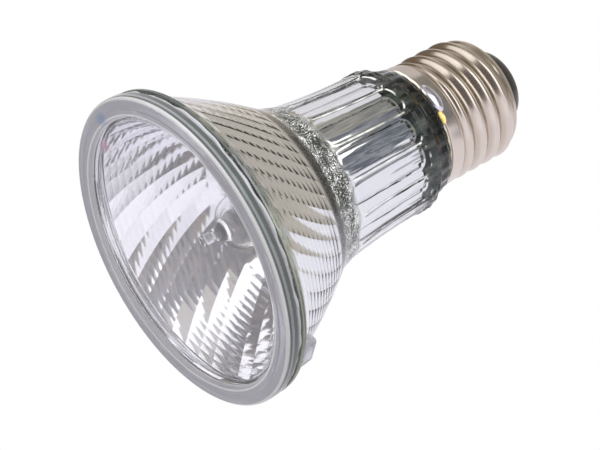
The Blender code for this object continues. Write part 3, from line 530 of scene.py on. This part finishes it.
def paraboloid(height, mouth, throat):
    share = (height - mouth[1]) / (throat[1] - mouth[1])
    return np.sqrt(mouth[0] ** 2 + (throat[0] ** 2 - mouth[0] ** 2) * share)


def slopeOf(height, mouth, throat):
    fall = (throat[0] ** 2 - mouth[0] ** 2) / (throat[1] - mouth[1])
    return fall / (2.0 * paraboloid(height, mouth, throat))


def tangentCorner(start, startSlope, end, endSlope):
    height = (end[0] - endSlope * end[1]) - (start[0] - startSlope * start[1])
    height /= startSlope - endSlope
    return (start[0] + startSlope * (height - start[1]), height)


def outerOutline():
    size = reflectorSizes
    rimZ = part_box("reflector")[0].z
    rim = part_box("front_lens")[1].x - size["rimInset"]
    backZ = rimZ + size["rimBand"]
    mouth = (size["bowlMouth"], backZ + size["rimBack"])
    collar = (size["collar"], mouth[1] + size["bowlDepth"])
    neckStart = (size["neckStart"], collar[1] + size["collarHeight"])
    neckEndZ = neckStart[1] + size["neckLength"]
    neckSlope = -2.0 * (size["neckStart"] - size["neckEnd"]) / size["neckLength"]
    corner = tangentCorner(collar, slopeOf(collar[1], mouth, collar), neckStart, neckSlope)
    endStart, endZ = size["endStart"], neckEndZ + size["neckStep"]
    middle = ((size["neckEnd"] + endStart) / 2.0, (neckEndZ + endZ) / 2.0)
    points = [(size["seat"], rimZ)]
    front = size["rimFrontRound"]
    points += arcPoints((rim - front, rimZ + front), front, -math.pi / 2, 0.0, 4)
    back = size["rimBackRound"]
    points += arcPoints((rim - back, backZ - back / 2.0), back, 0.0, math.pi / 3.2, 6)
    aside, below = size["fillet"]
    points += curvePoints(points[-1], (mouth[0] + aside, mouth[1] - below), mouth, 12)[1:]
    heights = np.linspace(mouth[1], collar[1], 26)[1:-1]
    points += [(float(paraboloid(z, mouth, collar)), float(z)) for z in heights]
    points += curvePoints(collar, corner, neckStart, 44)
    for share in np.linspace(0, 1, 26)[1:-1]:
        radius = size["neckEnd"] + (size["neckStart"] - size["neckEnd"]) * (1 - share) ** 2
        points.append((float(radius), float(neckStart[1] + size["neckLength"] * share)))
    points += curvePoints((size["neckEnd"], neckEndZ), (size["neckEnd"], middle[1]), middle, 5)
    points += curvePoints(middle, (endStart, middle[1]), (endStart, endZ), 5)[1:]
    shoulder, shoulderZ, soft = size["shoulder"], size["shoulderZ"], size["shoulderRound"]
    points += linePoints((endStart, endZ), (shoulder, shoulderZ - soft), 8)
    points += arcPoints((shoulder - soft, shoulderZ - soft), soft, 0.0, math.pi / 2, 5)[1:]
    points += [(size["spigot"], shoulderZ), (size["spigot"], size["spigotEndZ"]),
               (size["spigotBore"], size["spigotEndZ"]), (size["spigotBore"], size["floorTopZ"])]
    return points


def panelShare(angle):
    # From nothing at a panel's middle to one at either edge, with its sign
    half = math.pi / reflectorSizes["panels"]
    return ((angle + half) % (2.0 * half) - half) / half


def crowded(height, angle):
    # Columns of points crowd towards the panels' edges, where the grooves need them
    size = reflectorSizes
    half = math.pi / size["panels"]
    share = panelShare(angle)
    strength = roundBlend((height - size["crowdZ"]) / size["crowdRise"])
    return angle + (np.sin(share * math.pi / 2.0) - share) * half * strength


def fluteRing(radius, height, angle):
    # Flat panels round the neck with grooves between them. Each starts under an arch that
    # runs out into the collar.
    size = reflectorSizes
    share = panelShare(angle)
    side = np.abs(share)
    archZ = size["archCentreZ"] + (size["archRidgeZ"] - size["archCentreZ"]) * side ** 2
    growth = np.clip((height - archZ) / size["runOut"], 0.0, 1.0)
    growth = 1.0 - (1.0 - growth) ** 2
    endZ = size["endArchZ"] - size["archDrop"] * side ** 3
    growth = growth * roundBlend((endZ - height) / size["endRunOut"])
    flat = (radius - size["panelDepth"]) / np.cos(share * math.pi / size["panels"])
    edge = roundBlend((side - 1.0) / size["grooveShare"] + 1.0)
    cut = np.maximum(radius - flat, 0.0) + size["groove"] * edge
    return radius - cut * growth


def innerRings(angle):
    # The mirror's facets lie in columns that twist a little from each row to the next
    size = reflectorSizes
    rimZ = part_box("reflector")[0].z
    mouth = (size["mirrorMouth"], rimZ + size["seatDepth"])
    throat = (size["mirrorThroat"], size["throatZ"])
    columns, rows = size["facetColumns"], size["facetRows"]
    facetEnd = mouth[1] + (throat[1] - mouth[1]) * size["facetEndShare"]
    rings = [ringPoints(size["seat"], mouth[1], angle)]
    within = (angle * columns / (2.0 * math.pi)) % 1.0
    acrossBulge = 4.0 * within * (1.0 - within)
    corner = 2.0 * math.pi / columns
    for row in np.linspace(0, rows, rows * size["rowsPerFacet"] + 1):
        height = mouth[1] + (facetEnd - mouth[1]) * row / rows
        chord = paraboloid(height, mouth, throat) * math.cos(corner / 2.0)
        chord = chord / np.cos((within - 0.5) * corner)
        bulge = size["facetBulge"] * (4.0 * (row % 1.0) * (1.0 - row % 1.0) + acrossBulge)
        rings.append(ringPoints(chord - bulge, height, angle + size["facetTwist"] * row))
    heights = np.linspace(facetEnd, throat[1], 8)[1:]
    profile = [(paraboloid(height, mouth, throat), height) for height in heights]
    boreStart = (size["boreStart"], size["boreStartZ"])
    boreEnd = (size["boreEnd"], size["floorZ"])
    boreSlope = (boreEnd[0] - boreStart[0]) / (boreEnd[1] - boreStart[1])
    corner = tangentCorner(throat, slopeOf(throat[1], mouth, throat), boreStart, boreSlope)
    profile += curvePoints(throat, corner, boreStart, 16)[1:]
    profile += linePoints(boreStart, boreEnd, 56)
    rings += profileRings(profile, angle + size["facetTwist"] * rows)
    return rings


def buildReflector():
    size = reflectorSizes
    angle = bearings(size["facetColumns"] * size["stepsPerFacet"])
    outer = []
    for radius, height in reversed(outerOutline()):
        turned = crowded(height, angle)
        shaped = radius
        if size["archCentreZ"] < height < size["endArchZ"]:
            shaped = fluteRing(radius, height, turned)
        if size["ribZ"] < height < size["shoulderZ"] + 0.01 * mm and radius > size["spigot"]:
            rise = min(1.0, (height - size["ribZ"]) / size["ribRise"])
            shaped = shaped - size["ribDepth"] * rise * (0.5 + 0.5 * np.cos(size["ribs"] * turned))
        outer.append(ringPoints(shaped, height, turned))
    rings = [pole(size["floorTopZ"]), *outer, *innerRings(angle), pole(size["floorZ"])]
    spigotRings = 4

    def ringMaterial(index):
        # Film inside, and on the spigot painted shade for what shows of the dark cap
        if index >= len(outer):
            return 1
        return 2 if index < spigotRings else 0

    body = skinRings("reflectorGlass", rings, [glassFinish, filmFinish, insideShadeFinish],
                     ringMaterial, sharp=4.0)
    return stands(body, "pressed_glass", "reflector")


# Screw cap

capSizes = dict(millimetres(
    sheet=0.35, skirtLength=3.3, pitch=3.629, crest=13.15, root=12.15, runIn=1.4, endHeight=3.7,
    lip=8.6, skirt=13.1, threadGap=0.7, skirtTop=0.3, skirtBlend=0.8, band=1.0, edgeRound=0.25,
    edgeInset=0.12
), turn=238.0 / 360.0, columns=240)


def threadWave(height, angle, low, high):
    # Right-handed: the crest climbs one pitch in each turn
    size = capSizes
    start = low + size["skirtLength"]
    fadeEnd = high - size["endHeight"] / 2.0
    fade = roundBlend((height - start) / size["runIn"])
    fade *= roundBlend((fadeEnd - height) / (size["runIn"] * 1.3))
    turn = (angle - math.pi / 2.0) / (2.0 * math.pi)
    wave = np.cos(2.0 * math.pi * ((height - start) / size["pitch"] - turn - size["turn"]))
    return (size["crest"] - size["root"]) / 2.0 * wave * fade


def shellOutline(low, high):
    size = capSizes
    start = low + size["skirtLength"]
    threadEnd = high - size["endHeight"]
    middle = (size["crest"] + size["root"]) / 2.0
    skirt, top = size["skirt"], size["skirtTop"]
    threadStart = start + size["threadGap"]
    joint = ((middle + skirt) / 2.0, start)
    edge = (skirt, low + size["edgeRound"])
    points = curvePoints((size["lip"], high), (middle, high), (middle, threadEnd), 40)
    points += linePoints((middle, threadEnd), (middle, threadStart), 117)
    points += curvePoints((middle, threadStart), (middle, start + top), joint, 4)[1:]
    points += curvePoints(joint, (skirt, start - top), (skirt, start - size["skirtBlend"]), 4)[1:]
    points += [(skirt, low + size["band"]), edge]
    points += curvePoints(edge, (skirt, low), (skirt - size["edgeInset"], low), 4)[1:]
    return points


def nickelPlate():
    # Warm bright nickel: clouded a little, with fine lengthwise marks from drawing the sheet,
    # painted shade in the roots of the thread and more painted shade towards -X
    paint = Paint("nickelPlate")
    cloud = paint.noise(220.0, 4.0, roughness=0.6)
    marks = paint.noise(900.0, 2.0, 0.12)
    x, y = paint.parts()[:2]
    radius = (x * x + y * y) ** 0.5
    # Painted shade in the roots of the thread
    depth = paint.ramp(radius, 12.2 * mm, 12.9 * mm)
    tint = paint.blend(cloud, (0.66, 0.59, 0.52), (0.77, 0.69, 0.62))
    tint = paint.blend(depth, paint.blend(0.6, tint, (0.50, 0.42, 0.33)), tint)
    # Painted shade darkens the -X side
    shadedSide = paint.ramp(0 - x, 6.0 * mm, 13.0 * mm)
    tint = paint.blend(shadedSide * 0.6, tint, (0.40, 0.34, 0.27))
    paint.set(BaseColor=tint, Metallic=1.0, Roughness=0.155 + cloud * 0.12,
              Normal=paint.bump(marks + cloud, 0.00001, 0.6))
    return paint.material


def buildCap():
    size = capSizes
    low, high = (corner.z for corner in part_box("cap_shell"))
    angle = bearings(size["columns"])
    outline = shellOutline(low, high)
    sheet = size["sheet"]
    outer = [ringPoints(radius + threadWave(height, angle, low, high), height, angle)
             for radius, height in outline]
    inner = []
    for radius, height in outline[::-2]:
        raised = min(height, high - sheet) if radius < size["root"] else height
        wave = threadWave(height, angle, low, high)
        inner.append(ringPoints(radius - sheet * 0.9 + wave, max(raised, low), angle))
    inner[-1] = ringPoints(size["lip"], high - sheet, angle)
    cap = skinRings("capShell", outer + inner, [nickelPlate()], loop=True, sharp=50.0)
    return stands(cap, "nickel_plate", "cap_shell")


insulatorSizes = millimetres(
    bore=1.0, well=4.7, wellDepth=0.8, wellRound=0.15, land=5.4, landStart=0.35,
    landDrop=(0.3, 0.4), cone=(8.3, 83.0), coneFoot=8.9, throat=8.3, throatLength=0.95, foot=9.2,
    gap=0.3
)


def buildInsulator():
    # Black glass with a rounded edge round the well that the contact sits in
    size = insulatorSizes
    low, high = (corner.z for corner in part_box("cap_insulator"))
    bore, well, land = size["bore"], size["well"], size["land"]
    soft, (aside, drop) = size["wellRound"], size["landDrop"]
    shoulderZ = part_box("cap_shell")[1].z + size["gap"]
    footZ = shoulderZ - size["throatLength"]
    profile = [(bore, high - size["wellDepth"]), (well, high - size["wellDepth"])]
    profile += curvePoints((well, high - soft), (well, high), (well + soft, high), 4)
    profile += curvePoints((land - size["landStart"], high), (land, high),
                           (land + aside, high - drop), 6)
    profile += curvePoints(profile[-1], size["cone"], (size["coneFoot"], shoulderZ), 16)[1:]
    profile += [(size["throat"], shoulderZ), (size["throat"], footZ), (size["foot"], footZ),
                (size["foot"], low), (bore, low)]
    profile.reverse()
    cone = turnProfile("capInsulator", profile, 96, capGlassFinish, loop=True, sharp=35.0)
    return stands(faceOutwards(cone), "black_glass", "cap_insulator")


lugSizes = dict(millimetres(radius=30.5, middleZ=5.95, block=(8.0, 2.6, 4.6), lean=0.2, round=0.8),
                bearing=math.radians(62.0), taper=0.78)


def buildLug():
    # The moulder's lug behind the rim, rounded off and sunk into the bowl
    size = lugSizes
    work = bmesh.new()
    bmesh.ops.create_cube(work, size=1.0)
    bmesh.ops.scale(work, verts=work.verts, vec=size["block"])
    for vertex in work.verts:
        if vertex.co.z > 0.0:
            vertex.co.x *= size["taper"]
            vertex.co.y += size["lean"]
    bmesh.ops.bevel(work, geom=work.edges[:], offset=size["round"], segments=5, profile=0.5,
                    affect="EDGES")
    for vertex in work.verts:
        x, y, z = vertex.co
        angle = size["bearing"] + x / size["radius"]
        radius = size["radius"] - y
        vertex.co = (radius * math.sin(angle), -radius * math.cos(angle), size["middleZ"] + z)
    return stands(shapedPiece("rimLug", work, lugFinish), "pressed_glass")


def solderMetal():
    paint = Paint("solderMetal")
    grain = paint.noise(1500.0, 3.0)
    cloud = paint.noise(400.0, 2.0)
    tint = paint.blend(cloud, (0.66, 0.64, 0.74), (0.90, 0.88, 0.97))
    paint.set(BaseColor=tint, Metallic=1.0, Roughness=0.12 + grain * 0.14,
              Normal=paint.bump(grain, 0.00001, 0.5))
    return paint.material


solderSizes = dict(millimetres(across=3.25, tall=1.5, proud=1.1),
                   bearing=math.radians(-15.0), rings=14, spokes=48)


def buildSideSolder():
    # A bead that wets the skirt's edge: domed outside, with its back on the metal
    size = solderSizes
    low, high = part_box("side_solder")
    middle = (low.z + high.z) / 2.0
    radius = capSizes["skirt"] + 0.03 * mm
    spokes = bearings(size["spokes"])

    def patch(share, lift):
        uneven = 1.0 + 0.05 * np.sin(2 * spokes + 0.6) + 0.03 * np.sin(3 * spokes)
        across = share * uneven * size["across"] * np.cos(spokes)
        tall = share * uneven * size["tall"] * np.sin(spokes)
        angle = size["bearing"] + across / radius
        return np.stack([(radius + lift) * np.sin(angle), -(radius + lift) * np.cos(angle),
                         middle + tall], axis=1)

    steps = np.linspace(0.0, 1.0, size["rings"] + 1)[1:]
    dome = [patch(0.0001, size["proud"])[:1]]
    dome += [patch(math.sin(t * math.pi / 2), size["proud"] * math.cos(t * math.pi / 2) ** 0.9)
             for t in steps[:-1]]
    back = [patch(1.0, 0.0), patch(0.6, 0.0), patch(0.0001, 0.0)[:1]]
    bead = skinRings("solderBead", dome + back, [solderFinish], sharp=60.0)
    return stands(faceOutwards(bead), "solder", "side_solder")


cementSizes = dict(millimetres(inset=0.35, bulge=0.3, lift=0.375, back=0.6),
                   bearing=math.radians(302.0), spread=math.radians(24.0))


def buildCementLine():
    # Basing cement squeezed out between the glass and the skirt's edge, thick on one side
    size = cementSizes
    angle = bearings(360)
    lowZ = reflectorSizes["shoulderZ"]
    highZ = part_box("cap_shell")[0].z
    skirt = capSizes["skirt"]
    offset = (angle - size["bearing"] + math.pi) % (2.0 * math.pi) - math.pi
    thick = np.exp(-(offset / size["spread"]) ** 2)
    uneven = 0.05 * np.sin(17 * angle) + 0.04 * np.sin(29 * angle + 1.0)
    bulge = (0.5 * thick - 0.25 + uneven * (0.4 + thick)) * mm
    rings = []
    for turn in np.linspace(0.0, math.pi, 9):
        out = skirt - size["inset"] + (size["bulge"] + bulge) * math.sin(turn)
        height = lowZ + 0.03 * mm + (highZ - lowZ) * (0.5 - 0.5 * math.cos(turn))
        rings.append(ringPoints(out, height + size["lift"] * thick * (turn / math.pi), angle))
    rings.append(ringPoints(skirt - size["back"], highZ - 0.1 * mm, angle))
    rings.append(ringPoints(skirt - size["back"], lowZ + 0.1 * mm, angle))
    line = skinRings("cementLine", rings, [cementFinish], loop=True, sharp=60.0)
    return stands(faceOutwards(line), "cement")


fluxSizes = dict(millimetres(middleZ=58.75, wide=1.35, tall=0.75, proud=0.5, lift=0.05),
                 bearing=math.radians(4.5))


def buildFlux():
    # A yellow drop of soldering flux that ran out beside the bead
    size = fluxSizes
    skirt = capSizes["skirt"]
    work = bmesh.new()
    bmesh.ops.create_uvsphere(work, u_segments=28, v_segments=16, radius=1.0)
    for vertex in work.verts:
        x, y, z = vertex.co
        wide = size["wide"] * (1.0 + 0.12 * math.sin(3.0 * z + 1.0))
        bearing = size["bearing"] + x * wide / skirt
        radius = skirt + size["lift"] - size["proud"] * y
        vertex.co = (radius * math.sin(bearing), -radius * math.cos(bearing),
                     size["middleZ"] + z * size["tall"])
    return stands(shapedPiece("fluxDrop", work, fluxFinish), "solder")


# Capsule

capsuleSizes = dict(millimetres(
    tip=1.15, tipLength=5.2, body=5.7, wall=1.0, pinchZ=38.5, pinchEndZ=49.5, pinchWide=5.8,
    pinchThick=1.9, pinchRound=0.3, shoulder=2.5, shoulderLength=5.4, bodyEndZ=34.5,
    hollowEndZ=35.0, hollowTipZ=37.5
), columns=64)


def takeIn(piece, other):
    # Adds another piece's faces to this one's mesh
    work = bmesh.new()
    work.from_mesh(piece.data)
    work.from_mesh(other.data)
    work.to_mesh(piece.data)
    work.free()
    bpy.data.meshes.remove(other.data)  # and the other piece with it


def buildCapsule():
    # Outer skin from the drawn tip to the flat pinch, and an inner skin of its own
    size = capsuleSizes
    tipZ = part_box("capsule_envelope")[0].z
    angle = bearings(size["columns"])
    tip, body, bodyEndZ = size["tip"], size["body"], size["bodyEndZ"]
    domeZ = tipZ + size["tipLength"]
    bodyZ = domeZ + size["shoulderLength"]
    shoulder = (size["shoulder"], domeZ + 0.5 * mm)
    profile = [(0.0, tipZ)] + arcPoints((0.0, tipZ + tip), tip, -math.pi / 2 * 0.9, 0.0, 8)
    profile += curvePoints((tip, tipZ + tip), (tip * 0.92, domeZ - 0.4 * mm), shoulder, 8)[1:]
    profile += curvePoints(shoulder, (body, domeZ + 1.6 * mm), (body, bodyZ), 12)[1:]
    profile += linePoints((body, bodyZ), (body, bodyEndZ), 9)
    rings = profileRings(profile, angle)

    def pinched(share, height, shrink=0.0):
        flat = roundBlend(share)
        wide = body + (size["pinchWide"] - body) * flat - shrink
        thick = body + (size["pinchThick"] - body) * flat - shrink
        power = 2.0 + 6.0 * flat
        sine, cosine = np.sin(angle), -np.cos(angle)
        scale = (np.abs(sine) ** power + np.abs(cosine) ** power) ** (-1.0 / power)
        return np.stack([wide * sine * scale, thick * cosine * scale,
                         np.full(len(angle), height)], axis=1)

    for share in np.linspace(0, 1, 9)[1:]:
        rings.append(pinched(share, bodyEndZ + (size["pinchZ"] - bodyEndZ) * share))
    pinchEndZ, soft = size["pinchEndZ"], size["pinchRound"]
    rings += [pinched(1.0, pinchEndZ - soft), pinched(1.0, pinchEndZ, soft), pole(pinchEndZ)]
    outer = skinRings("capsuleGlass", rings, [quartzFinish], sharp=40.0)
    faceOutwards(outer)
    bore, hollowZ = body - size["wall"], domeZ + size["wall"]
    endZ, hollowTipZ = size["hollowEndZ"], size["hollowTipZ"]
    hollow = curvePoints((0.0, hollowZ), (bore, hollowZ), (bore, bodyZ), 14)
    hollow += linePoints((bore, bodyZ), (bore, endZ), 5)
    hollow += curvePoints((bore, endZ), (bore, hollowTipZ), (0.0, hollowTipZ), 8)[1:]
    inner = turnProfile("capsuleHollow", hollow, len(angle), quartzFinish, sharp=40.0)
    faceOutwards(inner)
    inner.data.flip_normals()
    takeIn(outer, inner)
    return stands(outer, "quartz", "capsule_envelope")


# Seal between lens and reflector

sealSizes = millimetres(inset=0.42, depth=2.5, overlap=0.22, corner=0.25)


def buildSeal():
    # The bead swells and thins along the seam
    size = sealSizes
    low, high = (corner.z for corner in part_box("lens_seal"))
    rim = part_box("front_lens")[1].x
    angle = bearings(360)
    swell = (0.16 * np.sin(9 * angle + 1.0) + 0.12 * np.sin(23 * angle)
             + 0.08 * np.sin(41 * angle + 2.0)) * mm
    rise = (0.10 * np.sin(7 * angle) + 0.08 * np.sin(19 * angle + 0.5)) * mm
    outside = rim - size["inset"] + swell
    inside = rim - size["depth"]
    top, bottom, corner = high + size["overlap"], low - size["overlap"], size["corner"]
    middle = (top + bottom) / 2.0 + rise
    section = [(inside, bottom), (inside, top), (outside - corner, top),
               (outside - 0.05 * mm, middle + corner), (outside, middle),
               (outside - 0.05 * mm, middle - corner), (outside - corner, bottom)]
    rings = [ringPoints(radius, height, angle) for radius, height in section]
    seal = skinRings("sealBead", rings, [sealFinish], loop=True, sharp=60.0)
    return stands(faceOutwards(seal), "seal_bead", "lens_seal")


# Better finishes for the solids that stay

def plainMetal(name, dark, light, roughness, scale=600.0):
    return cloudedFinish(name, dark, light, (roughness, 0.15), (scale, 3.0), (0.000005, 0.6),
                         Metallic=1.0)


def refinish():
    finishes = [
        (plainMetal("nickelWire", (0.50, 0.46, 0.40), (0.70, 0.66, 0.60), 0.25),
         ["shell_lead_wire", "contact_lead_wire"]),
        (plainMetal("molybdenum", (0.40, 0.385, 0.37), (0.60, 0.585, 0.565), 0.3),
         ["filament_lead_long", "filament_lead_short", "foil_left", "foil_right",
          "lead_pin_left", "lead_pin_right"]),
        (plainMetal("brass", (0.58, 0.40, 0.18), (0.80, 0.62, 0.32), 0.22, 260.0),
         ["ferrule_left", "ferrule_right", "centre_contact"]),
        (plainMetal("tungsten", (0.16, 0.16, 0.17), (0.34, 0.34, 0.35), 0.4), ["filament"]),
        (cementFinish, ["cap_cement"]), (solderFinish, ["contact_solder"]),
    ]
    for material, nodes in finishes:
        for node in nodes:
            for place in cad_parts[node].material_slots:
                place.material = material


# Camera, background and light, in the photo's own frame: right, up and back

lampCentre = Vector((0.0, 0.0, 0.04))
camera = {
    "place": Vector((6.11, -389.68, -195.20)) * mm, "lens": 138.2, "sensor": 36.0,
    "right": Vector((0.4798, -0.4337, 0.7627)), "up": Vector((-0.8774, -0.2372, 0.4171)),
}


def buildCamera():
    data = bpy.data.cameras.new("camera")
    data.lens = camera["lens"]
    data.sensor_width = camera["sensor"]
    data.sensor_fit = "HORIZONTAL"
    data.clip_start = 0.01
    right = camera["right"].normalized()
    back = right.cross(camera["up"]).normalized()
    up = back.cross(right)
    seen = linked("camera", data)
    turn = Matrix((right, up, back)).transposed()
    seen.matrix_world = Matrix.Translation(camera["place"]) @ turn.to_4x4()
    scene.camera = seen
    return right, up, back


def buildWorld():
    # White to the camera and in the glass and metal, with softer light on the rest
    paint = Paint("studio", bpy.data.worlds)
    rays = paint.node("ShaderNodeLightPath").outputs
    seen = Amount(paint, rays["Is Camera Ray"])
    for other in ("Is Glossy Ray", "Is Transmission Ray"):
        seen = seen.combine("MAXIMUM", seen, rays[other])
    level = paint.node("ShaderNodeMapRange", inputs={"Value": seen, "To Min": 0.65})
    background = paint.nodes["Background"].inputs
    paint.feed(background["Color"], (1.0, 1.0, 1.0))
    paint.feed(background["Strength"], level.outputs[0])
    scene.world = paint.material


def buildFloor():
    # A white floor under the lamp. It shows from above only, since the photo looks up
    # from below it, and it lets the light from below through.
    bpy.ops.mesh.primitive_plane_add(size=3.0, location=(0, 0, -0.00002))
    floor = bpy.context.object
    floor.name = "floor"
    paint = Paint("floorPaper")
    paint.set(BaseColor=(0.9, 0.9, 0.9), Roughness=0.9)
    seen = Amount(paint, paint.node("ShaderNodeLightPath").outputs["Is Camera Ray"])
    below = Amount(paint, paint.node("ShaderNodeNewGeometry").outputs["Backfacing"])
    shown = paint.showOnly(seen * (1 - below), paint.shader.outputs[0])
    floor.data.materials.append(paint.finish(shown))


def inPicture(axes, direction):
    # A direction counted along the photo's right, its up and back to the camera
    right, up, back = axes
    return (right * direction[0] + up * direction[1] + back * direction[2]).normalized()


def aimAt(latitude, longitude):
    # Degrees above the picture's middle line, and to the right of the camera
    a, b = math.radians(latitude), math.radians(longitude)
    return (math.sin(b) * math.cos(a), math.sin(a), math.cos(b) * math.cos(a))


def reflectionCard(axes, name, direction, across, high, colour, strength, reach, soft=0.0,
                   other=None):
    # Part of a sphere round the lamp that only reflections see. It reaches the two half
    # angles either side of its direction. Given soft, a round card fades out over its last
    # part. Given another colour, the card is blotched with it.
    up, back = axes[1:]
    aim = inPicture(axes, aimAt(*direction))
    side = aim.cross(up if abs(aim.dot(up)) < 0.95 else back).normalized()
    top = side.cross(aim)
    steps = 24
    points = []
    for row in range(steps + 1):
        for column in range(steps + 1):
            a = math.radians(across) * (2.0 * column / steps - 1.0)
            b = math.radians(high) * (2.0 * row / steps - 1.0)
            if soft:
                a, b = math.radians(across) * row / steps, math.pi * 2.0 * column / steps
                ray = aim * math.cos(a) + (side * math.cos(b) + top * math.sin(b)) * math.sin(a)
            else:
                level = aim * math.cos(a) + side * math.sin(a)
                ray = level * math.cos(b) + top * math.sin(b)
            points.append(tuple(ray * reach + lampCentre))
    faces = [(first, first + 1, first + steps + 2, first + steps + 1)
             for first in range(steps * (steps + 1)) if first % (steps + 1) < steps]
    mesh = bpy.data.meshes.new(name)
    mesh.from_pydata(points, [], faces)
    card = linked(name, mesh)
    paint = Paint(name)
    if other:
        blotches = paint.noise(7.0, 3.0, distortion=0.5)
        colour = paint.blend(paint.ramp(blotches, 0.42, 0.6), colour, other)
    glow = paint.node("ShaderNodeEmission", inputs={"Color": colour, "Strength": strength})
    surface = glow.outputs[0]
    if soft:
        towards = paint.node("ShaderNodeVectorMath", {"operation": "SUBTRACT"},
                             {0: paint.place(), 1: tuple(lampCentre)})
        level = paint.node("ShaderNodeVectorMath", {"operation": "DOT_PRODUCT"},
                           {0: towards.outputs[0], 1: tuple(aim / reach)})
        edge = paint.ramp(Amount(paint, level.outputs["Value"]), math.cos(math.radians(across)),
                          math.cos(math.radians(across * (1.0 - soft))))
        surface = paint.showOnly(edge, surface)
    mesh.materials.append(paint.finish(surface))
    paint.material.cycles.emission_sampling = "NONE"
    card.visible_camera = False
    card.visible_diffuse = False
    card.visible_shadow = False


# Each card's name, its direction, half width and half height in degrees, its colour, strength
# and distance, then how much of it fades, and the colour of its blotches
cards = [
    ("tableCard", (-90, 0), 96, 96, (0.92, 0.905, 0.975), 1.0, 1.40, 0.03),
    ("roomCard", (90, 0), 86, 86, (0.54, 0.49, 0.43), 1.0, 1.35, 0.05, (0.48, 0.45, 0.40)),
    ("ceilingCard", (76, 75), 24, 24, (0.22, 0.22, 0.21), 1.0, 1.30, 0.3, (0.40, 0.38, 0.34)),
    ("leftWall", (38, -125), 30, 20, (0.25, 0.20, 0.15), 1.0, 1.26),
    ("slateWall", (32, 60), 11, 28, (0.11, 0.125, 0.155), 1.0, 1.22, 0.0, (0.30, 0.31, 0.33)),
    ("slateRight", (32, 84), 13, 28, (0.27, 0.25, 0.225), 1.0, 1.23, 0.0, (0.38, 0.36, 0.33)),
    ("greyLow", (-3, 88), 13, 9, (0.48, 0.48, 0.52), 1.0, 1.20),
    ("backCard", (42, -172), 12, 38, (0.84, 0.82, 0.85), 1.0, 1.18),
    ("lowLeft", (-14, -82), 36, 36, (1.0, 0.985, 1.0), 1.5, 1.15, 0.2),
    ("frontSoftbox", (23, 17), 26, 27, (1.0, 0.99, 0.98), 1.7, 1.12),
    ("warmSpot", (22, 166), 12, 14, (0.80, 0.73, 0.64), 1.0, 1.10),
    ("lowWindow", (-44, 8), 20, 12, (0.93, 0.915, 0.985), 1.1, 1.08),
    ("leftWindow", (34, -68), 26, 13, (1.0, 0.99, 1.0), 1.5, 1.05),
    ("cameraSide", (-1, -22), 32, 25, (0.10, 0.098, 0.112), 1.0, 1.0, 0.12, (0.25, 0.205, 0.17)),
]


def areaLamp(name, axes, direction, size, energy):
    data = bpy.data.lights.new(name, "AREA")
    data.energy = energy
    data.size = size
    lamp = linked(name, data)
    towards = inPicture(axes, direction)
    lamp.location = towards * 0.8 + lampCentre
    lamp.rotation_euler = towards.to_track_quat("Z", "Y").to_euler()
    lamp.visible_glossy = False
    lamp.visible_transmission = False


# The finishes of the pieces
glassFinish = pressedGlass()
solderFinish = solderMetal()
# What shows through the bare end of the neck: painted shade, a dark green-grey depth, with dull
# streaks of painted highlight
insideShadeFinish = cloudedFinish("paintedShadeInside", tints["depth"], tints["paintedGleamStreak"], (0.12, 0.2),
                           (420.0, 3.0, 0.25, 0.8), (0.0003,), (0.42, 0.62))
cementFinish = cloudedFinish("cement", (0.55, 0.51, 0.43), (0.82, 0.79, 0.70), (0.75, 0.2),
                             (1400.0, 4.0), (0.00006, 0.8))
capGlassFinish = cloudedFinish("capGlass", (0.006, 0.006, 0.007), (0.02, 0.018, 0.018),
                               (0.16, 0.2), (300.0, 3.0), (0.00003, 0.5))
sealFinish = cloudedFinish("sealBead", (0.36, 0.36, 0.385), (0.47, 0.465, 0.50), (0.18, 0.2),
                           (500.0, 3.0), (0.00005, 0.8), Ior=1.45)
fluxFinish = cloudedFinish("flux", (0.62, 0.40, 0.05), (0.90, 0.72, 0.30), (0.12, 0.1),
                           (900.0, 2.0), (0.00002,), (0.35, 0.65))
lensFinish = lensGlass()
lugFinish = clouded(clearGlass("lugGlass", (0.90, 0.90, 0.94), 0.02), 0.38,
                    (0.70, 0.69, 0.76), 0.2)
quartzFinish = clearGlass("quartzGlass", (0.98, 0.98, 0.985), waviness=0.000004,
                          index=1.458).material
filmFinish = mirrorFilm()

buildLens()
print("lens made")
buildReflector()
print("reflector made")
buildCap()
buildSideSolder()
buildFlux()
buildCementLine()
buildInsulator()
buildLug()
buildCapsule()
buildSeal()
refinish()
print("other pieces made")
axes = buildCamera()
buildWorld()
buildFloor()
for card in cards:
    reflectionCard(axes, *card)
areaLamp("topLamp", axes, (0.1, 1.0, 0.3), 0.5, 6.0)
areaLamp("rightLamp", axes, (0.8, 0.5, 0.6), 0.4, 4.0)
print("camera, cards and lamps made")
scene.view_settings.view_transform = "Standard"
